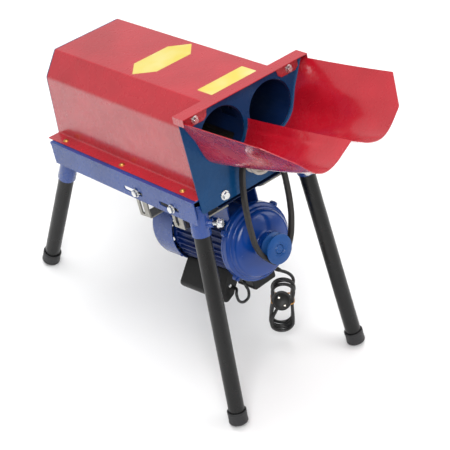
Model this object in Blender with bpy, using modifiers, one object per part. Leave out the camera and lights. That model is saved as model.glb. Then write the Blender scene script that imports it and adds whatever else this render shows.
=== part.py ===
"""Electric twin-feed maize sheller, built as separate parts on a tilted frame.

Two frames are used. "body" coordinates follow the machine: X to the right seen from the feed
end, Y from the feed end to the outlet end, Z square to the rails. The body stands tilted on
long front legs and short rear legs, so the body frame is turned about X and lifted. The motor
hangs in slotted brackets with its own small pitch, so it has a frame inside the body frame.
"""
import math

import bmesh
import bpy
from mathutils import Matrix, Vector

MM = 0.001
OBJECT_NAME = "maize_sheller"

# ---------------------------------------------------------------- driving sizes, millimetres
GAP = 0.3                    # clearance between parts that touch
BODY_TILT = 16.13            # degrees, feed end up
LIFT = 39.85                 # height of the body origin above the floor
Y_ORIGIN = -250.9            # moves the footprint centre to the origin

HOOD_FRONT, HOOD_BACK = -5.7, 464.0
HOOD_TOP, HOOD_TOP_HALF = 617.7, 79.9
HOOD_SIDE_TOP, HOOD_SIDE_HALF = 571.4, 113.9
HOOD_FLANGE_Z, HOOD_FLANGE_HALF = 450.5, 146.1
HOOD_FOOT_HALF = 119.6
SHEET = 1.5

PANEL_Y0, PANEL_Y1 = -8.0, -6.0
PANEL_BOTTOM, PANEL_TOP = 417.3, 617.4
PANEL_BOTTOM_HALF, PANEL_TOP_HALF = 137.3, 147.4
REAR_Y0, REAR_Y1 = 464.3, 466.3

FEED_X, FEED_Z, FEED_R = 58.1, 548.5, 50.8
DRUM_Z = 474.0
DRUM_R, BAR_R, SWING_R = 30.0, 43.0, 51.5
SHAFT_R = 10.0

STRIP_Z, STRIP_HALF, STRIP_FRONT, STRIP_BACK = 618.0, 149.0, -25.6, 4.0

RAIL_HALF, RAIL_TOP, RAIL_BOTTOM = 153.6, 448.7, 399.6
RAIL_FRONT, RAIL_BACK = -5.7, 448.3
SLOTS = ((45.0, 104.0), (155.0, 213.0))
SLOT_Z, SLOT_H = 415.5, 9.0

LEG_R, LEG_WALL = 16.0, 1.5
SOCKET_R, SOCKET_LEN = 18.5, 64.0
CAP_R, CAP_ROUND, CAP_LEN, CAP_BASE = 19.4, 4.5, 28.0, 4.0
FRONT_SOCKET, FRONT_FOOT = (133.0, 15.5, 365.0), (162.0, -12.9, -41.0)
REAR_SOCKET, REAR_FOOT = (132.0, 458.0, 353.5), (160.0, 571.0, 128.0)

MOTOR_Y, MOTOR_Z, MOTOR_PITCH = -22.0, 277.0, 5.0
MOTOR_SHAFT_R = 9.5
BODY_ROOT_R, FIN_R, FINS = 63.0, 70.0, 34
BODY_S0, BODY_S1 = 71.3, 224.0
FOOT_Z = 104.0
DRUM_PULLEY_R, MOTOR_PULLEY_R, PULLEY_W = 31.0, 30.0, 20.0
BELT_TOP_W, BELT_BOT_W, BELT_H = 12.6, 8.0, 8.0

CABLE_D = 6.6


# ---------------------------------------------------------------- scene set-up
def clear_scene():
    for obj in list(bpy.data.objects):
        bpy.data.objects.remove(obj, do_unlink=True)


clear_scene()
PARTS = bpy.data.collections.new(OBJECT_NAME)
CUTTERS = bpy.data.collections.new("cutters")
bpy.context.scene.collection.children.link(PARTS)
bpy.context.scene.collection.children.link(CUTTERS)


def make_frame(name, parent, location, pitch):
    """An empty whose axes carry a group of parts."""
    empty = bpy.data.objects.new(name, None)
    PARTS.objects.link(empty)
    empty.parent = parent
    empty.location = Vector(location) * MM
    empty.rotation_euler = (math.radians(pitch), 0.0, 0.0)
    empty.empty_display_size = 0.05
    return empty


BODY = make_frame("body_frame", None, (0.0, Y_ORIGIN, LIFT), -BODY_TILT)
MOTOR = make_frame("motor_frame", BODY, (0.0, MOTOR_Y, MOTOR_Z), -MOTOR_PITCH)
DRUM_AXIS = make_frame("drum_axis", BODY, (0.0, 0.0, DRUM_Z), 0.0)
ROTOR_AXIS = make_frame("rotor_axis", MOTOR, (0.0, 0.0, 0.0), 0.0)


def body_to_motor(point):
    """Body coordinates written in the motor frame."""
    c = math.cos(math.radians(MOTOR_PITCH))
    s = math.sin(math.radians(MOTOR_PITCH))
    y = point[1] - MOTOR_Y
    z = point[2] - MOTOR_Z
    return (point[0], y * c - z * s, y * s + z * c)


# ---------------------------------------------------------------- materials
def material(name, rgb, roughness, metallic=0.0):
    mat = bpy.data.materials.new(name)
    mat.use_nodes = True
    shader = mat.node_tree.nodes["Principled BSDF"]
    shader.inputs["Base Color"].default_value = (rgb[0], rgb[1], rgb[2], 1.0)
    shader.inputs["Roughness"].default_value = roughness
    shader.inputs["Metallic"].default_value = metallic
    mat.diffuse_color = (rgb[0], rgb[1], rgb[2], 1.0)
    return mat


RED = (0.47, 0.008, 0.012)
BLUE = (0.012, 0.055, 0.26)
LIGHT_BLUE = (0.05, 0.11, 0.36)
NAVY = (0.006, 0.02, 0.11)
STEEL = (0.36, 0.35, 0.33)
ZINC = (0.72, 0.72, 0.71)
GOLD_ZINC = (0.60, 0.42, 0.20)
BLACK = (0.012, 0.012, 0.012)
DARK_GREY = (0.035, 0.035, 0.036)


def finish(obj, parent, rgb, roughness=0.4, metallic=0.0, smooth=False):
    """Name the material after the part, parent it, and set its shading."""
    obj.data.materials.clear()
    obj.data.materials.append(material(obj.name + "_finish", rgb, roughness, metallic))
    obj.parent = parent
    if smooth:
        for poly in obj.data.polygons:
            poly.use_smooth = True
    return obj


# ---------------------------------------------------------------- shape helpers
def mesh_object(name, mesh, collection=None):
    obj = bpy.data.objects.new(name, mesh)
    (collection or PARTS).objects.link(obj)
    return obj


def box(name, lo, hi, bevel=0.0, collection=None):
    """A box between two corners, in millimetres."""
    mesh = bpy.data.meshes.new(name)
    bm = bmesh.new()
    bmesh.ops.create_cube(bm, size=1.0)
    lo = Vector(lo) * MM
    hi = Vector(hi) * MM
    size = hi - lo
    for vert in bm.verts:
        vert.co = Vector((vert.co.x * size.x, vert.co.y * size.y, vert.co.z * size.z)) + (lo + hi) / 2
    bm.to_mesh(mesh)
    bm.free()
    obj = mesh_object(name, mesh, collection)
    if bevel:
        add_bevel(obj, bevel)
    return obj


def add_bevel(obj, width, segments=2):
    mod = obj.modifiers.new("edge", "BEVEL")
    mod.width = width * MM
    mod.segments = segments
    mod.limit_method = "ANGLE"
    mod.angle_limit = math.radians(40)
    return mod


AXIS_TURN = {
    "X": Matrix(((0, 0, 1), (1, 0, 0), (0, 1, 0))).to_4x4(),
    "Y": Matrix(((1, 0, 0), (0, 0, -1), (0, 1, 0))).to_4x4(),
    "Z": Matrix.Identity(4),
}


def prism(name, outline, axis, lo, hi, holes=(), collection=None):
    """A flat outline with holes, filled and run along one axis from lo to hi.

    The outline's two numbers are (y, z) for axis X, (x, z) for axis Y and (x, y) for axis Z.
    """
    curve = bpy.data.curves.new(name + "_outline", "CURVE")
    curve.dimensions = "2D"
    curve.fill_mode = "BOTH"
    curve.extrude = abs(hi - lo) / 2 * MM
    for loop in (outline,) + tuple(holes):
        spline = curve.splines.new("POLY")
        spline.points.add(len(loop) - 1)
        for point, (a, b) in zip(spline.points, loop):
            point.co = (a * MM, b * MM, 0.0, 1.0)
        spline.use_cyclic_u = True
    carrier = bpy.data.objects.new(name + "_curve", curve)
    mesh = bpy.data.meshes.new_from_object(carrier)
    bpy.data.objects.remove(carrier)
    bpy.data.curves.remove(curve)
    mesh.name = name
    middle = (lo + hi) / 2 * MM
    shift = {"X": (middle, 0, 0), "Y": (0, middle, 0), "Z": (0, 0, middle)}[axis]
    mesh.transform(Matrix.Translation(shift) @ AXIS_TURN[axis])
    clean(mesh)
    return mesh_object(name, mesh, collection)


def clean(mesh):
    """Merge the seams, then turn every face outward."""
    bm = bmesh.new()
    bm.from_mesh(mesh)
    bmesh.ops.remove_doubles(bm, verts=bm.verts, dist=1e-6)
    bmesh.ops.recalc_face_normals(bm, faces=bm.faces)
    bm.to_mesh(mesh)
    bm.free()


def circle(cx, cz, r, count, start=0.0):
    """Points of a circle, counter-clockwise."""
    step = 2 * math.pi / count
    return [(cx + r * math.cos(start + i * step), cz + r * math.sin(start + i * step))
            for i in range(count)]


def arc(cx, cz, r, a0, a1, count):
    """Points of an arc between two angles in degrees."""
    return [(cx + r * math.cos(math.radians(a0 + (a1 - a0) * i / count)),
             cz + r * math.sin(math.radians(a0 + (a1 - a0) * i / count)))
            for i in range(count + 1)]


def rounded(points, radii, count=4, closed=True):
    """Replace the corners of a polyline by arcs of the given radii."""
    out = []
    n = len(points)
    for i, point in enumerate(points):
        r = radii[i] if isinstance(radii, (list, tuple)) else radii
        if r <= 0 or (not closed and i in (0, n - 1)):
            out.append(point)
            continue
        p = Vector(point)
        a = (Vector(points[i - 1]) - p).normalized()
        b = (Vector(points[(i + 1) % n]) - p).normalized()
        half = a.angle(b) / 2
        reach = r / math.tan(half)
        centre = p + (a + b).normalized() * (r / math.sin(half))
        start = p + a * reach - centre
        end = p + b * reach - centre
        for k in range(count + 1):
            t = k / count
            turn = start.angle_signed(end)
            spot = start.copy()
            spot.rotate(Matrix.Rotation(-turn * t, 2))
            out.append(tuple(centre + spot))
    return out


def thick(path, t):
    """Close an open polyline into a strip of thickness t, to the right of its direction."""
    side = []
    n = len(path)
    for i in range(n):
        p = Vector(path[i])
        normals = []
        if i > 0:
            d = (p - Vector(path[i - 1])).normalized()
            normals.append(Vector((d.y, -d.x)))
        if i < n - 1:
            d = (Vector(path[i + 1]) - p).normalized()
            normals.append(Vector((d.y, -d.x)))
        m = sum(normals, Vector((0.0, 0.0))).normalized()
        side.append(tuple(p + m * (t / m.dot(normals[0]))))
    return list(path) + side[::-1]


def mirror_x(points):
    return [(-a, b) for a, b in points][::-1]


def turned(name, profile, closed=False, steps=32, collection=None):
    """A turned shape about its local Z from (radius, height) points, top to bottom outside."""
    mesh = bpy.data.meshes.new(name)
    verts = [(r * MM, 0.0, h * MM) for r, h in profile]
    edges = [(i, i + 1) for i in range(len(verts) - 1)]
    if closed:
        edges.append((len(verts) - 1, 0))
    mesh.from_pydata(verts, edges, [])
    obj = mesh_object(name, mesh, collection)
    mod = obj.modifiers.new("turn", "SCREW")
    mod.axis = "Z"
    mod.angle = 2 * math.pi
    mod.steps = steps
    mod.render_steps = steps
    mod.use_merge_vertices = True
    mod.merge_threshold = 1e-5
    mod.use_smooth_shade = True
    return obj


def along_y(obj, location=(0.0, 0.0, 0.0)):
    """Lay a turned shape down so that its height runs from the outlet end to the feed end."""
    obj.rotation_euler = (math.pi / 2, 0.0, 0.0)
    obj.location = Vector(location) * MM
    return obj


def ring(r_in, r_out, h0, h1, chamfer=0.0):
    """Profile of a ring between two heights with broken outer edges."""
    c = chamfer
    outer = [(r_out, h1), (r_out, h0)]
    if c:
        outer = [(r_out - c, h1), (r_out, h1 - c), (r_out, h0 + c), (r_out - c, h0)]
    return [(r_in, h1)] + outer + [(r_in, h0)]


def cut(obj, cutter, operation="DIFFERENCE", parent=None):
    """Boolean with a hidden helper object."""
    cutter.parent = parent
    cutter.hide_render = True
    cutter.display_type = "WIRE"
    mod = obj.modifiers.new(operation.lower(), "BOOLEAN")
    mod.operation = operation
    mod.object = cutter
    mod.solver = "EXACT"
    return mod


def axis_matrix(origin, direction):
    """Matrix that puts local Z along a direction at a point in millimetres."""
    turn = Vector(direction).normalized().to_track_quat("Z", "Y").to_matrix().to_4x4()
    return Matrix.Translation(Vector(origin) * MM) @ turn


def place(obj, origin, direction):
    """Stand a turned shape on an axis."""
    obj.matrix_basis = axis_matrix(origin, direction)
    return obj


def loft(rings):
    """Vertices and faces of a closed solid through equal-count rings."""
    count = len(rings[0])
    verts = [point for loop in rings for point in loop]
    faces = [tuple(range(count))[::-1]]
    for k in range(len(rings) - 1):
        for i in range(count):
            j = (i + 1) % count
            faces.append((k * count + i, k * count + j, (k + 1) * count + j, (k + 1) * count + i))
    faces.append(tuple((len(rings) - 1) * count + i for i in range(count)))
    return verts, faces


def bolt_rings(head_w, head_h, washer_r, washer_h, shank_r, shank_len, domed=False):
    """Sections of a bolt along Z: head above zero, shank below zero."""
    count = 6
    hexagon = circle(0, 0, head_w / 2 / math.cos(math.pi / count), count)
    rounds = circle(0, 0, 1.0, count)

    def level(points, z, scale=1.0):
        return [(x * scale, y * scale, z) for x, y in points]

    rings = [level(rounds, -shank_len, shank_r), level(rounds, 0.0, shank_r),
             level(rounds, 0.0, washer_r), level(rounds, washer_h, washer_r)]
    if domed:
        return rings[1:] + [level(rounds, washer_h + head_h * 0.7, head_w * 0.4)]
    return rings + [level(hexagon, washer_h), level(hexagon, washer_h + head_h)]


def bolts(name, places, size, domed=False, collection=None):
    """Identical bolts in one mesh; each place is (point, outward direction)."""
    verts = []
    faces = []
    base_verts, base_faces = loft(bolt_rings(*size, domed=domed))
    for point, direction in places:
        matrix = axis_matrix(point, direction)
        start = len(verts)
        verts += [tuple(matrix @ (Vector(v) * MM)) for v in base_verts]
        faces += [tuple(start + i for i in face) for face in base_faces]
    mesh = bpy.data.meshes.new(name)
    mesh.from_pydata(verts, [], faces)
    clean(mesh)
    return mesh_object(name, mesh, collection)


def join_bolts(obj, places, size, parent, domed=False):
    """Add bolts to the part that carries them, so that the two are one body."""
    helper = bolts("cutter_bolts_" + obj.name, places, size, domed, CUTTERS)
    cut(obj, helper, "UNION", parent)


def tube_path(name, points, radius, resolution=2, collection=None):
    """A round cable through points in millimetres, with closed ends."""
    curve = bpy.data.curves.new(name + "_path", "CURVE")
    curve.dimensions = "3D"
    curve.bevel_depth = radius * MM
    curve.bevel_resolution = resolution
    curve.use_fill_caps = True
    spline = curve.splines.new("POLY")
    spline.points.add(len(points) - 1)
    for point, co in zip(spline.points, points):
        point.co = (co[0] * MM, co[1] * MM, co[2] * MM, 1.0)
    carrier = bpy.data.objects.new(name + "_curve", curve)
    mesh = bpy.data.meshes.new_from_object(carrier)
    bpy.data.objects.remove(carrier)
    bpy.data.curves.remove(curve)
    clean(mesh)
    return mesh_object(name, mesh, collection)


def smooth_path(controls, per_span):
    """Catmull-Rom points through the controls."""
    pts = [Vector(p) for p in controls]
    pts = [pts[0] * 2 - pts[1]] + pts + [pts[-1] * 2 - pts[-2]]
    out = []
    for i in range(1, len(pts) - 2):
        p0, p1, p2, p3 = pts[i - 1:i + 3]
        for k in range(per_span):
            t = k / per_span
            out.append(0.5 * ((2 * p1) + (p2 - p0) * t + (2 * p0 - 5 * p1 + 4 * p2 - p3) * t * t
                              + (3 * p1 - p0 - 3 * p2 + p3) * t ** 3))
    out.append(pts[-2])
    return out


# ---------------------------------------------------------------- hood, panels and cap strip
def build_hood():
    half = [(-HOOD_FLANGE_HALF, HOOD_FLANGE_Z), (-HOOD_FOOT_HALF, HOOD_FLANGE_Z),
            (-HOOD_SIDE_HALF, HOOD_SIDE_TOP), (-HOOD_TOP_HALF, HOOD_TOP)]
    path = half + [(-x, z) for x, z in half[::-1]]
    path = rounded(path, [0, 2.5, 16, 6, 6, 16, 2.5, 0], 4, closed=False)
    hood = prism("hood", thick(path, SHEET), "Y", HOOD_FRONT, HOOD_BACK)
    screws = []
    for side in (-1, 1):
        for y in (44.0, 230.0, 417.0):
            screws.append(((side * 134.5, y, HOOD_FLANGE_Z - 0.2), (0, 0, 1)))
    join_bolts(hood, screws, (7.0, 3.4, 5.2, 0.8, 2.0, 0.6), BODY, domed=True)
    finish(hood, BODY, RED, 0.3)


def panel_outline(grow=0.0):
    w0 = PANEL_BOTTOM_HALF + grow
    w1 = PANEL_TOP_HALF + grow
    points = [(-w0, PANEL_BOTTOM), (w0, PANEL_BOTTOM), (w1, PANEL_TOP), (-w1, PANEL_TOP)]
    return rounded(points, [7, 7, 0, 0], 4)


def build_panels():
    holes = [circle(-FEED_X, FEED_Z, FEED_R, 40), circle(FEED_X, FEED_Z, FEED_R, 40),
             circle(0, DRUM_Z, SHAFT_R + 2.0, 24)]
    front = prism("front_panel", panel_outline(), "Y", PANEL_Y0, PANEL_Y1, holes)
    finish(front, BODY, BLUE, 0.35)
    outline = [(-HOOD_FOOT_HALF, 428.0), (HOOD_FOOT_HALF, 428.0), (HOOD_SIDE_HALF, HOOD_SIDE_TOP),
               (HOOD_TOP_HALF, HOOD_TOP), (-HOOD_TOP_HALF, HOOD_TOP),
               (-HOOD_SIDE_HALF, HOOD_SIDE_TOP)]
    outline = rounded(outline, [4, 4, 16, 6, 6, 16], 4)
    rear = prism("rear_panel", outline, "Y", REAR_Y0, REAR_Y1, holes)
    finish(rear, BODY, BLUE, 0.35)
    for side, label in ((-1, "left"), (1, "right")):
        place_at = [((side * 81.6, PANEL_Y0 - GAP, 431.0), (0, -1, 0))]
        bolt = bolts("panel_bolt_" + label, place_at, (13.0, 5.5, 9.5, 1.6, 4.0, 0.1))
        finish(bolt, BODY, ZINC, 0.3, 1.0)
        place_at = [((side * 113.0, PANEL_Y0 - SHEET - 2 * GAP, 600.0), (0, -1, 0))]
        bolt = bolts("tab_bolt_" + label, place_at, (10.0, 4.4, 8.0, 1.2, 3.0, 0.1))
        finish(bolt, BODY, ZINC, 0.3, 1.0)


def build_cap_strip():
    strip = box("cap_strip", (-STRIP_HALF, STRIP_FRONT, STRIP_Z),
                (STRIP_HALF, STRIP_BACK, STRIP_Z + SHEET))
    tab_y0 = PANEL_Y0 - GAP - SHEET
    for side in (-1, 1):
        xs = sorted((side * STRIP_HALF, side * (STRIP_HALF - 1.2)))
        lip = box("cutter_lip", (xs[0], STRIP_FRONT, 605.0), (xs[1], STRIP_BACK, STRIP_Z + 0.7),
                  collection=CUTTERS)
        cut(strip, lip, "UNION", BODY)
        points = [(side * 81.0, 618.6), (side * 87.0, 596.5), (side * 94.0, 591.0),
                  (side * 128.0, 591.0), (side * 136.0, 597.0), (side * 136.0, 618.6)]
        tab = prism("cutter_tab", points, "Y", tab_y0, PANEL_Y0 - GAP, collection=CUTTERS)
        cut(strip, tab, "UNION", BODY)
    finish(strip, BODY, RED, 0.3)


# ---------------------------------------------------------------- feed chute
def chute_section(points, count):
    """Even samples along a Catmull-Rom curve through half-section points."""
    dense = smooth_path([(x, 0.0, z) for x, z in points], 12)
    lengths = [0.0]
    for a, b in zip(dense, dense[1:]):
        lengths.append(lengths[-1] + (b - a).length)
    out = []
    k = 0
    for i in range(count + 1):
        want = lengths[-1] * i / count
        while k < len(lengths) - 2 and lengths[k + 1] < want:
            k += 1
        t = (want - lengths[k]) / max(1e-9, lengths[k + 1] - lengths[k])
        out.append(dense[k].lerp(dense[k + 1], min(1.0, max(0.0, t))))
    return out


def build_chute():
    """W-shaped tray: two round troughs at the panel that flatten and widen to the free end."""
    near = [(0.0, 551.5), (4.5, 532.0)] + arc(FEED_X, FEED_Z, 55.0, 200, 345, 8) \
        + [(120.0, 560.0), (133.0, 586.0), (145.5, 611.0)]
    far = [(0.0, 581.0), (18.0, 570.5), (40.0, 558.5), (60.0, 553.5), (77.0, 556.5), (94.0, 568.0),
           (116.0, 591.0), (137.0, 611.0), (155.0, 628.5)]
    half = 18
    rows = 7
    a = chute_section(near, half)
    b = chute_section(far, half)
    y_start, y_end, y_corner = -11.0, -282.0, -237.0
    verts = []
    for row in range(rows + 1):
        s = row / rows
        for i in range(-half, half + 1):
            k = abs(i)
            u = k / half
            blend = s * (1.0 - 0.25 * (1.0 - s))
            p = a[k].lerp(b[k], blend)
            shorten = max(0.0, (u - 0.72) / 0.28)
            y_far = y_end + (y_corner - y_end) * shorten
            x = p.x if i >= 0 else -p.x
            verts.append((x * MM, (y_start + s * (y_far - y_start)) * MM, p.z * MM))
    width = 2 * half + 1
    faces = []
    for row in range(rows):
        for i in range(width - 1):
            q = row * width + i
            faces.append((q, q + width, q + width + 1, q + 1))
    mesh = bpy.data.meshes.new("feed_chute")
    mesh.from_pydata(verts, [], faces)
    chute = mesh_object("feed_chute", mesh)
    mod = chute.modifiers.new("sheet", "SOLIDIFY")
    mod.thickness = SHEET * MM
    mod.offset = -1.0
    finish(chute, BODY, RED, 0.25, smooth=True)


# ---------------------------------------------------------------- threshing section
def build_feed_tube(name, side):
    """Feed tube with the side next to the drum cut away and a sight window high on the inner side."""
    outline = circle(side * FEED_X, FEED_Z, FEED_R - 0.4, 40)
    hole = circle(side * FEED_X, FEED_Z, FEED_R - 1.9, 40)
    tube = prism(name, outline, "Y", PANEL_Y1 + GAP, REAR_Y0 - GAP, [hole])
    window = prism("cutter_swing_" + name, circle(0, DRUM_Z, SWING_R, 32), "Y", 14.0, 441.0,
                   collection=CUTTERS)
    cut(tube, window, "DIFFERENCE", BODY)
    xs = sorted((0.0, side * 26.0))
    sight = box("cutter_sight_" + name, (xs[0], 10.0, 551.0), (xs[1], 52.0, 583.0),
                collection=CUTTERS)
    cut(tube, sight, "DIFFERENCE", BODY)
    finish(tube, BODY, NAVY, 0.5)


def build_drum():
    shaft = turned("drum_shaft", [(0, 48.0), (SHAFT_R - 1, 48.0), (SHAFT_R, 47.0),
                                  (SHAFT_R, -448.0), (SHAFT_R - 1, -449.0), (0, -449.0)], steps=24)
    along_y(shaft, (0, 14.0, 0))
    finish(shaft, DRUM_AXIS, STEEL, 0.35, 1.0)
    outline = []
    bars = 4
    for k in range(bars):
        mid = 360.0 / bars * k
        half_out = math.degrees(math.asin(6.0 / BAR_R))
        half_in = math.degrees(math.asin(6.0 / DRUM_R))
        outline += arc(0, 0, BAR_R, mid - half_out, mid + half_out, 2)
        outline += arc(0, 0, DRUM_R, mid + half_in, mid + 360.0 / bars - half_in, 8)
    drum = prism("threshing_drum", outline, "Y", 18.0, 436.0,
                 [circle(0, 0, SHAFT_R + GAP, 32)])
    pegs = []
    for k in range(bars):
        a = math.radians(360.0 / bars * k)
        for i in range(6):
            y = 40.0 + i * 70.0 + (k % 2) * 30.0
            if y < 432.0:
                point = (math.cos(a) * (BAR_R - 0.6), y, math.sin(a) * (BAR_R - 0.6))
                pegs.append((point, (math.cos(a), 0, math.sin(a))))
    join_pegs(drum, pegs)
    finish(drum, DRUM_AXIS, DARK_GREY, 0.55, 0.6)


def join_pegs(drum, places):
    """Square pegs on the beater bars."""
    bm = bmesh.new()
    for point, direction in places:
        matrix = axis_matrix(point, direction)
        created = bmesh.ops.create_cube(bm, size=1.0)["verts"]
        for vert in created:
            local = Vector((vert.co.x * 8.0, vert.co.y * 8.0, (vert.co.z + 0.5) * 5.6 - 0.6))
            vert.co = matrix @ (local * MM)
    mesh = bpy.data.meshes.new("cutter_pegs")
    bm.to_mesh(mesh)
    bm.free()
    cut(drum, mesh_object("cutter_pegs", mesh, CUTTERS), "UNION", DRUM_AXIS)


def pulley_profile(bore, r, w, groove_depth):
    """V pulley between heights -w/2 and w/2, with a dished front face."""
    top = BELT_TOP_W / 2 + 0.5
    bottom = BELT_BOT_W / 2 - 0.9
    return [(bore, w / 2 - 2.0), (bore + 6.0, w / 2 - 2.0), (bore + 7.5, w / 2), (r - 0.8, w / 2),
            (r, w / 2 - 0.8), (r, top), (r - groove_depth, bottom), (r - groove_depth, -bottom),
            (r, -top), (r, -w / 2 + 0.8), (r - 0.8, -w / 2), (bore, -w / 2)]


def build_pulleys():
    profile = pulley_profile(SHAFT_R + GAP, DRUM_PULLEY_R, PULLEY_W, 12.0)
    upper = turned("drum_pulley", profile, closed=True, steps=26)
    along_y(upper, (0, MOTOR_Y, 0))
    finish(upper, DRUM_AXIS, STEEL, 0.5, 0.8)
    profile = pulley_profile(MOTOR_SHAFT_R + GAP, MOTOR_PULLEY_R, PULLEY_W, 12.0)
    lower = turned("motor_pulley", profile, closed=True, steps=26)
    along_y(lower)
    finish(lower, ROTOR_AXIS, LIGHT_BLUE, 0.35)


def build_bearings():
    front = turned("bearing_front", ring(SHAFT_R + GAP, 27.0, -11.0, 0.0), closed=True, steps=24)
    along_y(front, (0, PANEL_Y1 + GAP, DRUM_Z))
    finish(front, BODY, STEEL, 0.45, 0.8)
    rear = turned("bearing_rear", ring(SHAFT_R + GAP, 27.0, 0.0, 14.0), closed=True, steps=24)
    along_y(rear, (0, REAR_Y0 - GAP, DRUM_Z))
    finish(rear, BODY, STEEL, 0.45, 0.8)


def build_grain_tray():
    """Folded tray over the motor: grain slides down it and drops out behind the motor."""
    path = rounded([(-106.0, 444.0), (-92.0, 404.0), (92.0, 404.0), (106.0, 444.0)],
                   [0, 5, 5, 0], 3, closed=False)
    tray = prism("grain_tray", thick(path, 1.2), "Y", 4.0, 318.0)
    finish(tray, BODY, NAVY, 0.5)


# ---------------------------------------------------------------- belt
def build_belt():
    """Slack V belt: touches the tops and bottoms of the pulleys and bows out in between."""
    upper_r = DRUM_PULLEY_R - 2.2
    lower_r = MOTOR_PULLEY_R - 3.2
    right = []
    for angle in (78, 55, 36):
        a = math.radians(angle)
        right.append((upper_r * math.cos(a), DRUM_Z + upper_r * math.sin(a)))
    right += [(34.5, 481.0), (43.0, 461.0), (48.5, 430.0), (51.0, 390.0), (50.5, 350.0),
              (46.5, 313.0), (37.5, 284.0)]
    for angle in (-42, -66):
        a = math.radians(angle)
        right.append((lower_r * math.cos(a), MOTOR_Z + lower_r * math.sin(a)))
    top = (0.0, DRUM_Z + upper_r)
    bottom = (0.0, MOTOR_Z - lower_r)
    loop = [top] + right + [bottom] + [(-x, z) for x, z in right[::-1]]
    n = len(loop)
    pts = []
    for i in range(n):
        p0, p1, p2, p3 = (Vector(loop[(i + k) % n]) for k in (-1, 0, 1, 2))
        for k in range(3):
            t = k / 3
            pts.append(0.5 * ((2 * p1) + (p2 - p0) * t + (2 * p0 - 5 * p1 + 4 * p2 - p3) * t * t
                              + (3 * p1 - p0 - 3 * p2 + p3) * t ** 3))
    count = len(pts)
    section = [(-BELT_TOP_W / 2, BELT_H / 2), (BELT_TOP_W / 2, BELT_H / 2),
               (BELT_BOT_W / 2, -BELT_H / 2), (-BELT_BOT_W / 2, -BELT_H / 2)]
    pitch = math.radians(MOTOR_PITCH)
    verts = []
    for i, p in enumerate(pts):
        tangent = (pts[(i + 1) % count] - pts[i - 1]).normalized()
        outward = Vector((-tangent.y, tangent.x))
        if outward.dot(p - Vector((0.0, (DRUM_Z + MOTOR_Z) / 2))) < 0:
            outward = -outward
        share = min(1.0, max(0.0, (330.0 - p.y) / 60.0))
        lean = pitch * share
        for w, h in section:
            x = p.x + outward.x * h
            z = p.y + outward.y * h
            y = MOTOR_Y + (z - MOTOR_Z) * math.tan(lean) + w
            verts.append((x * MM, y * MM, z * MM))
    faces = []
    for i in range(count):
        j = (i + 1) % count
        for k in range(4):
            m = (k + 1) % 4
            faces.append((i * 4 + k, i * 4 + m, j * 4 + m, j * 4 + k))
    mesh = bpy.data.meshes.new("v_belt")
    mesh.from_pydata(verts, [], faces)
    clean(mesh)
    belt = mesh_object("v_belt", mesh)
    finish(belt, BODY, BLACK, 0.7, smooth=False)


# ---------------------------------------------------------------- frame and legs
def build_rails():
    web = [(-128.0, RAIL_TOP), (-128.0, RAIL_TOP - 2.0), (-150.4, RAIL_TOP - 2.0),
           (-149.6, RAIL_BOTTOM), (-151.6, RAIL_BOTTOM), (-152.6, 441.7), (-RAIL_HALF, 442.7),
           (-RAIL_HALF, RAIL_TOP)]
    for side, name in ((-1, "rail_left"), (1, "rail_right")):
        outline = web if side < 0 else mirror_x(web)
        rail = prism(name, outline, "Y", RAIL_FRONT, RAIL_BACK)
        for y0, y1 in SLOTS:
            r = SLOT_H / 2
            capsule = arc(y0 + r, SLOT_Z, r, 90, 270, 6) + arc(y1 - r, SLOT_Z, r, -90, 90, 6)
            xs = sorted((side * 140.0, side * 160.0))
            slot = prism("cutter_slot", capsule, "X", xs[0], xs[1], collection=CUTTERS)
            cut(rail, slot, "DIFFERENCE", BODY)
        finish(rail, BODY, LIGHT_BLUE, 0.35)


def leg_axis(socket, foot, side):
    """Socket mouth, foot point and direction; the foot slides until its cap meets the floor."""
    top = Vector((side * socket[0], socket[1], socket[2]))
    end = Vector((side * foot[0], foot[1], foot[2]))
    up = (top - end).normalized()
    tilt = math.radians(BODY_TILT)
    rise = up.z * math.cos(tilt) - up.y * math.sin(tilt)
    lean = math.sqrt(max(0.0, 1.0 - rise * rise))
    height = end.z * math.cos(tilt) - end.y * math.sin(tilt) + LIFT
    lowest = height - (CAP_R - CAP_ROUND) * lean - CAP_ROUND * (1.0 - rise)
    return top, end - up * (lowest / rise), up


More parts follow.
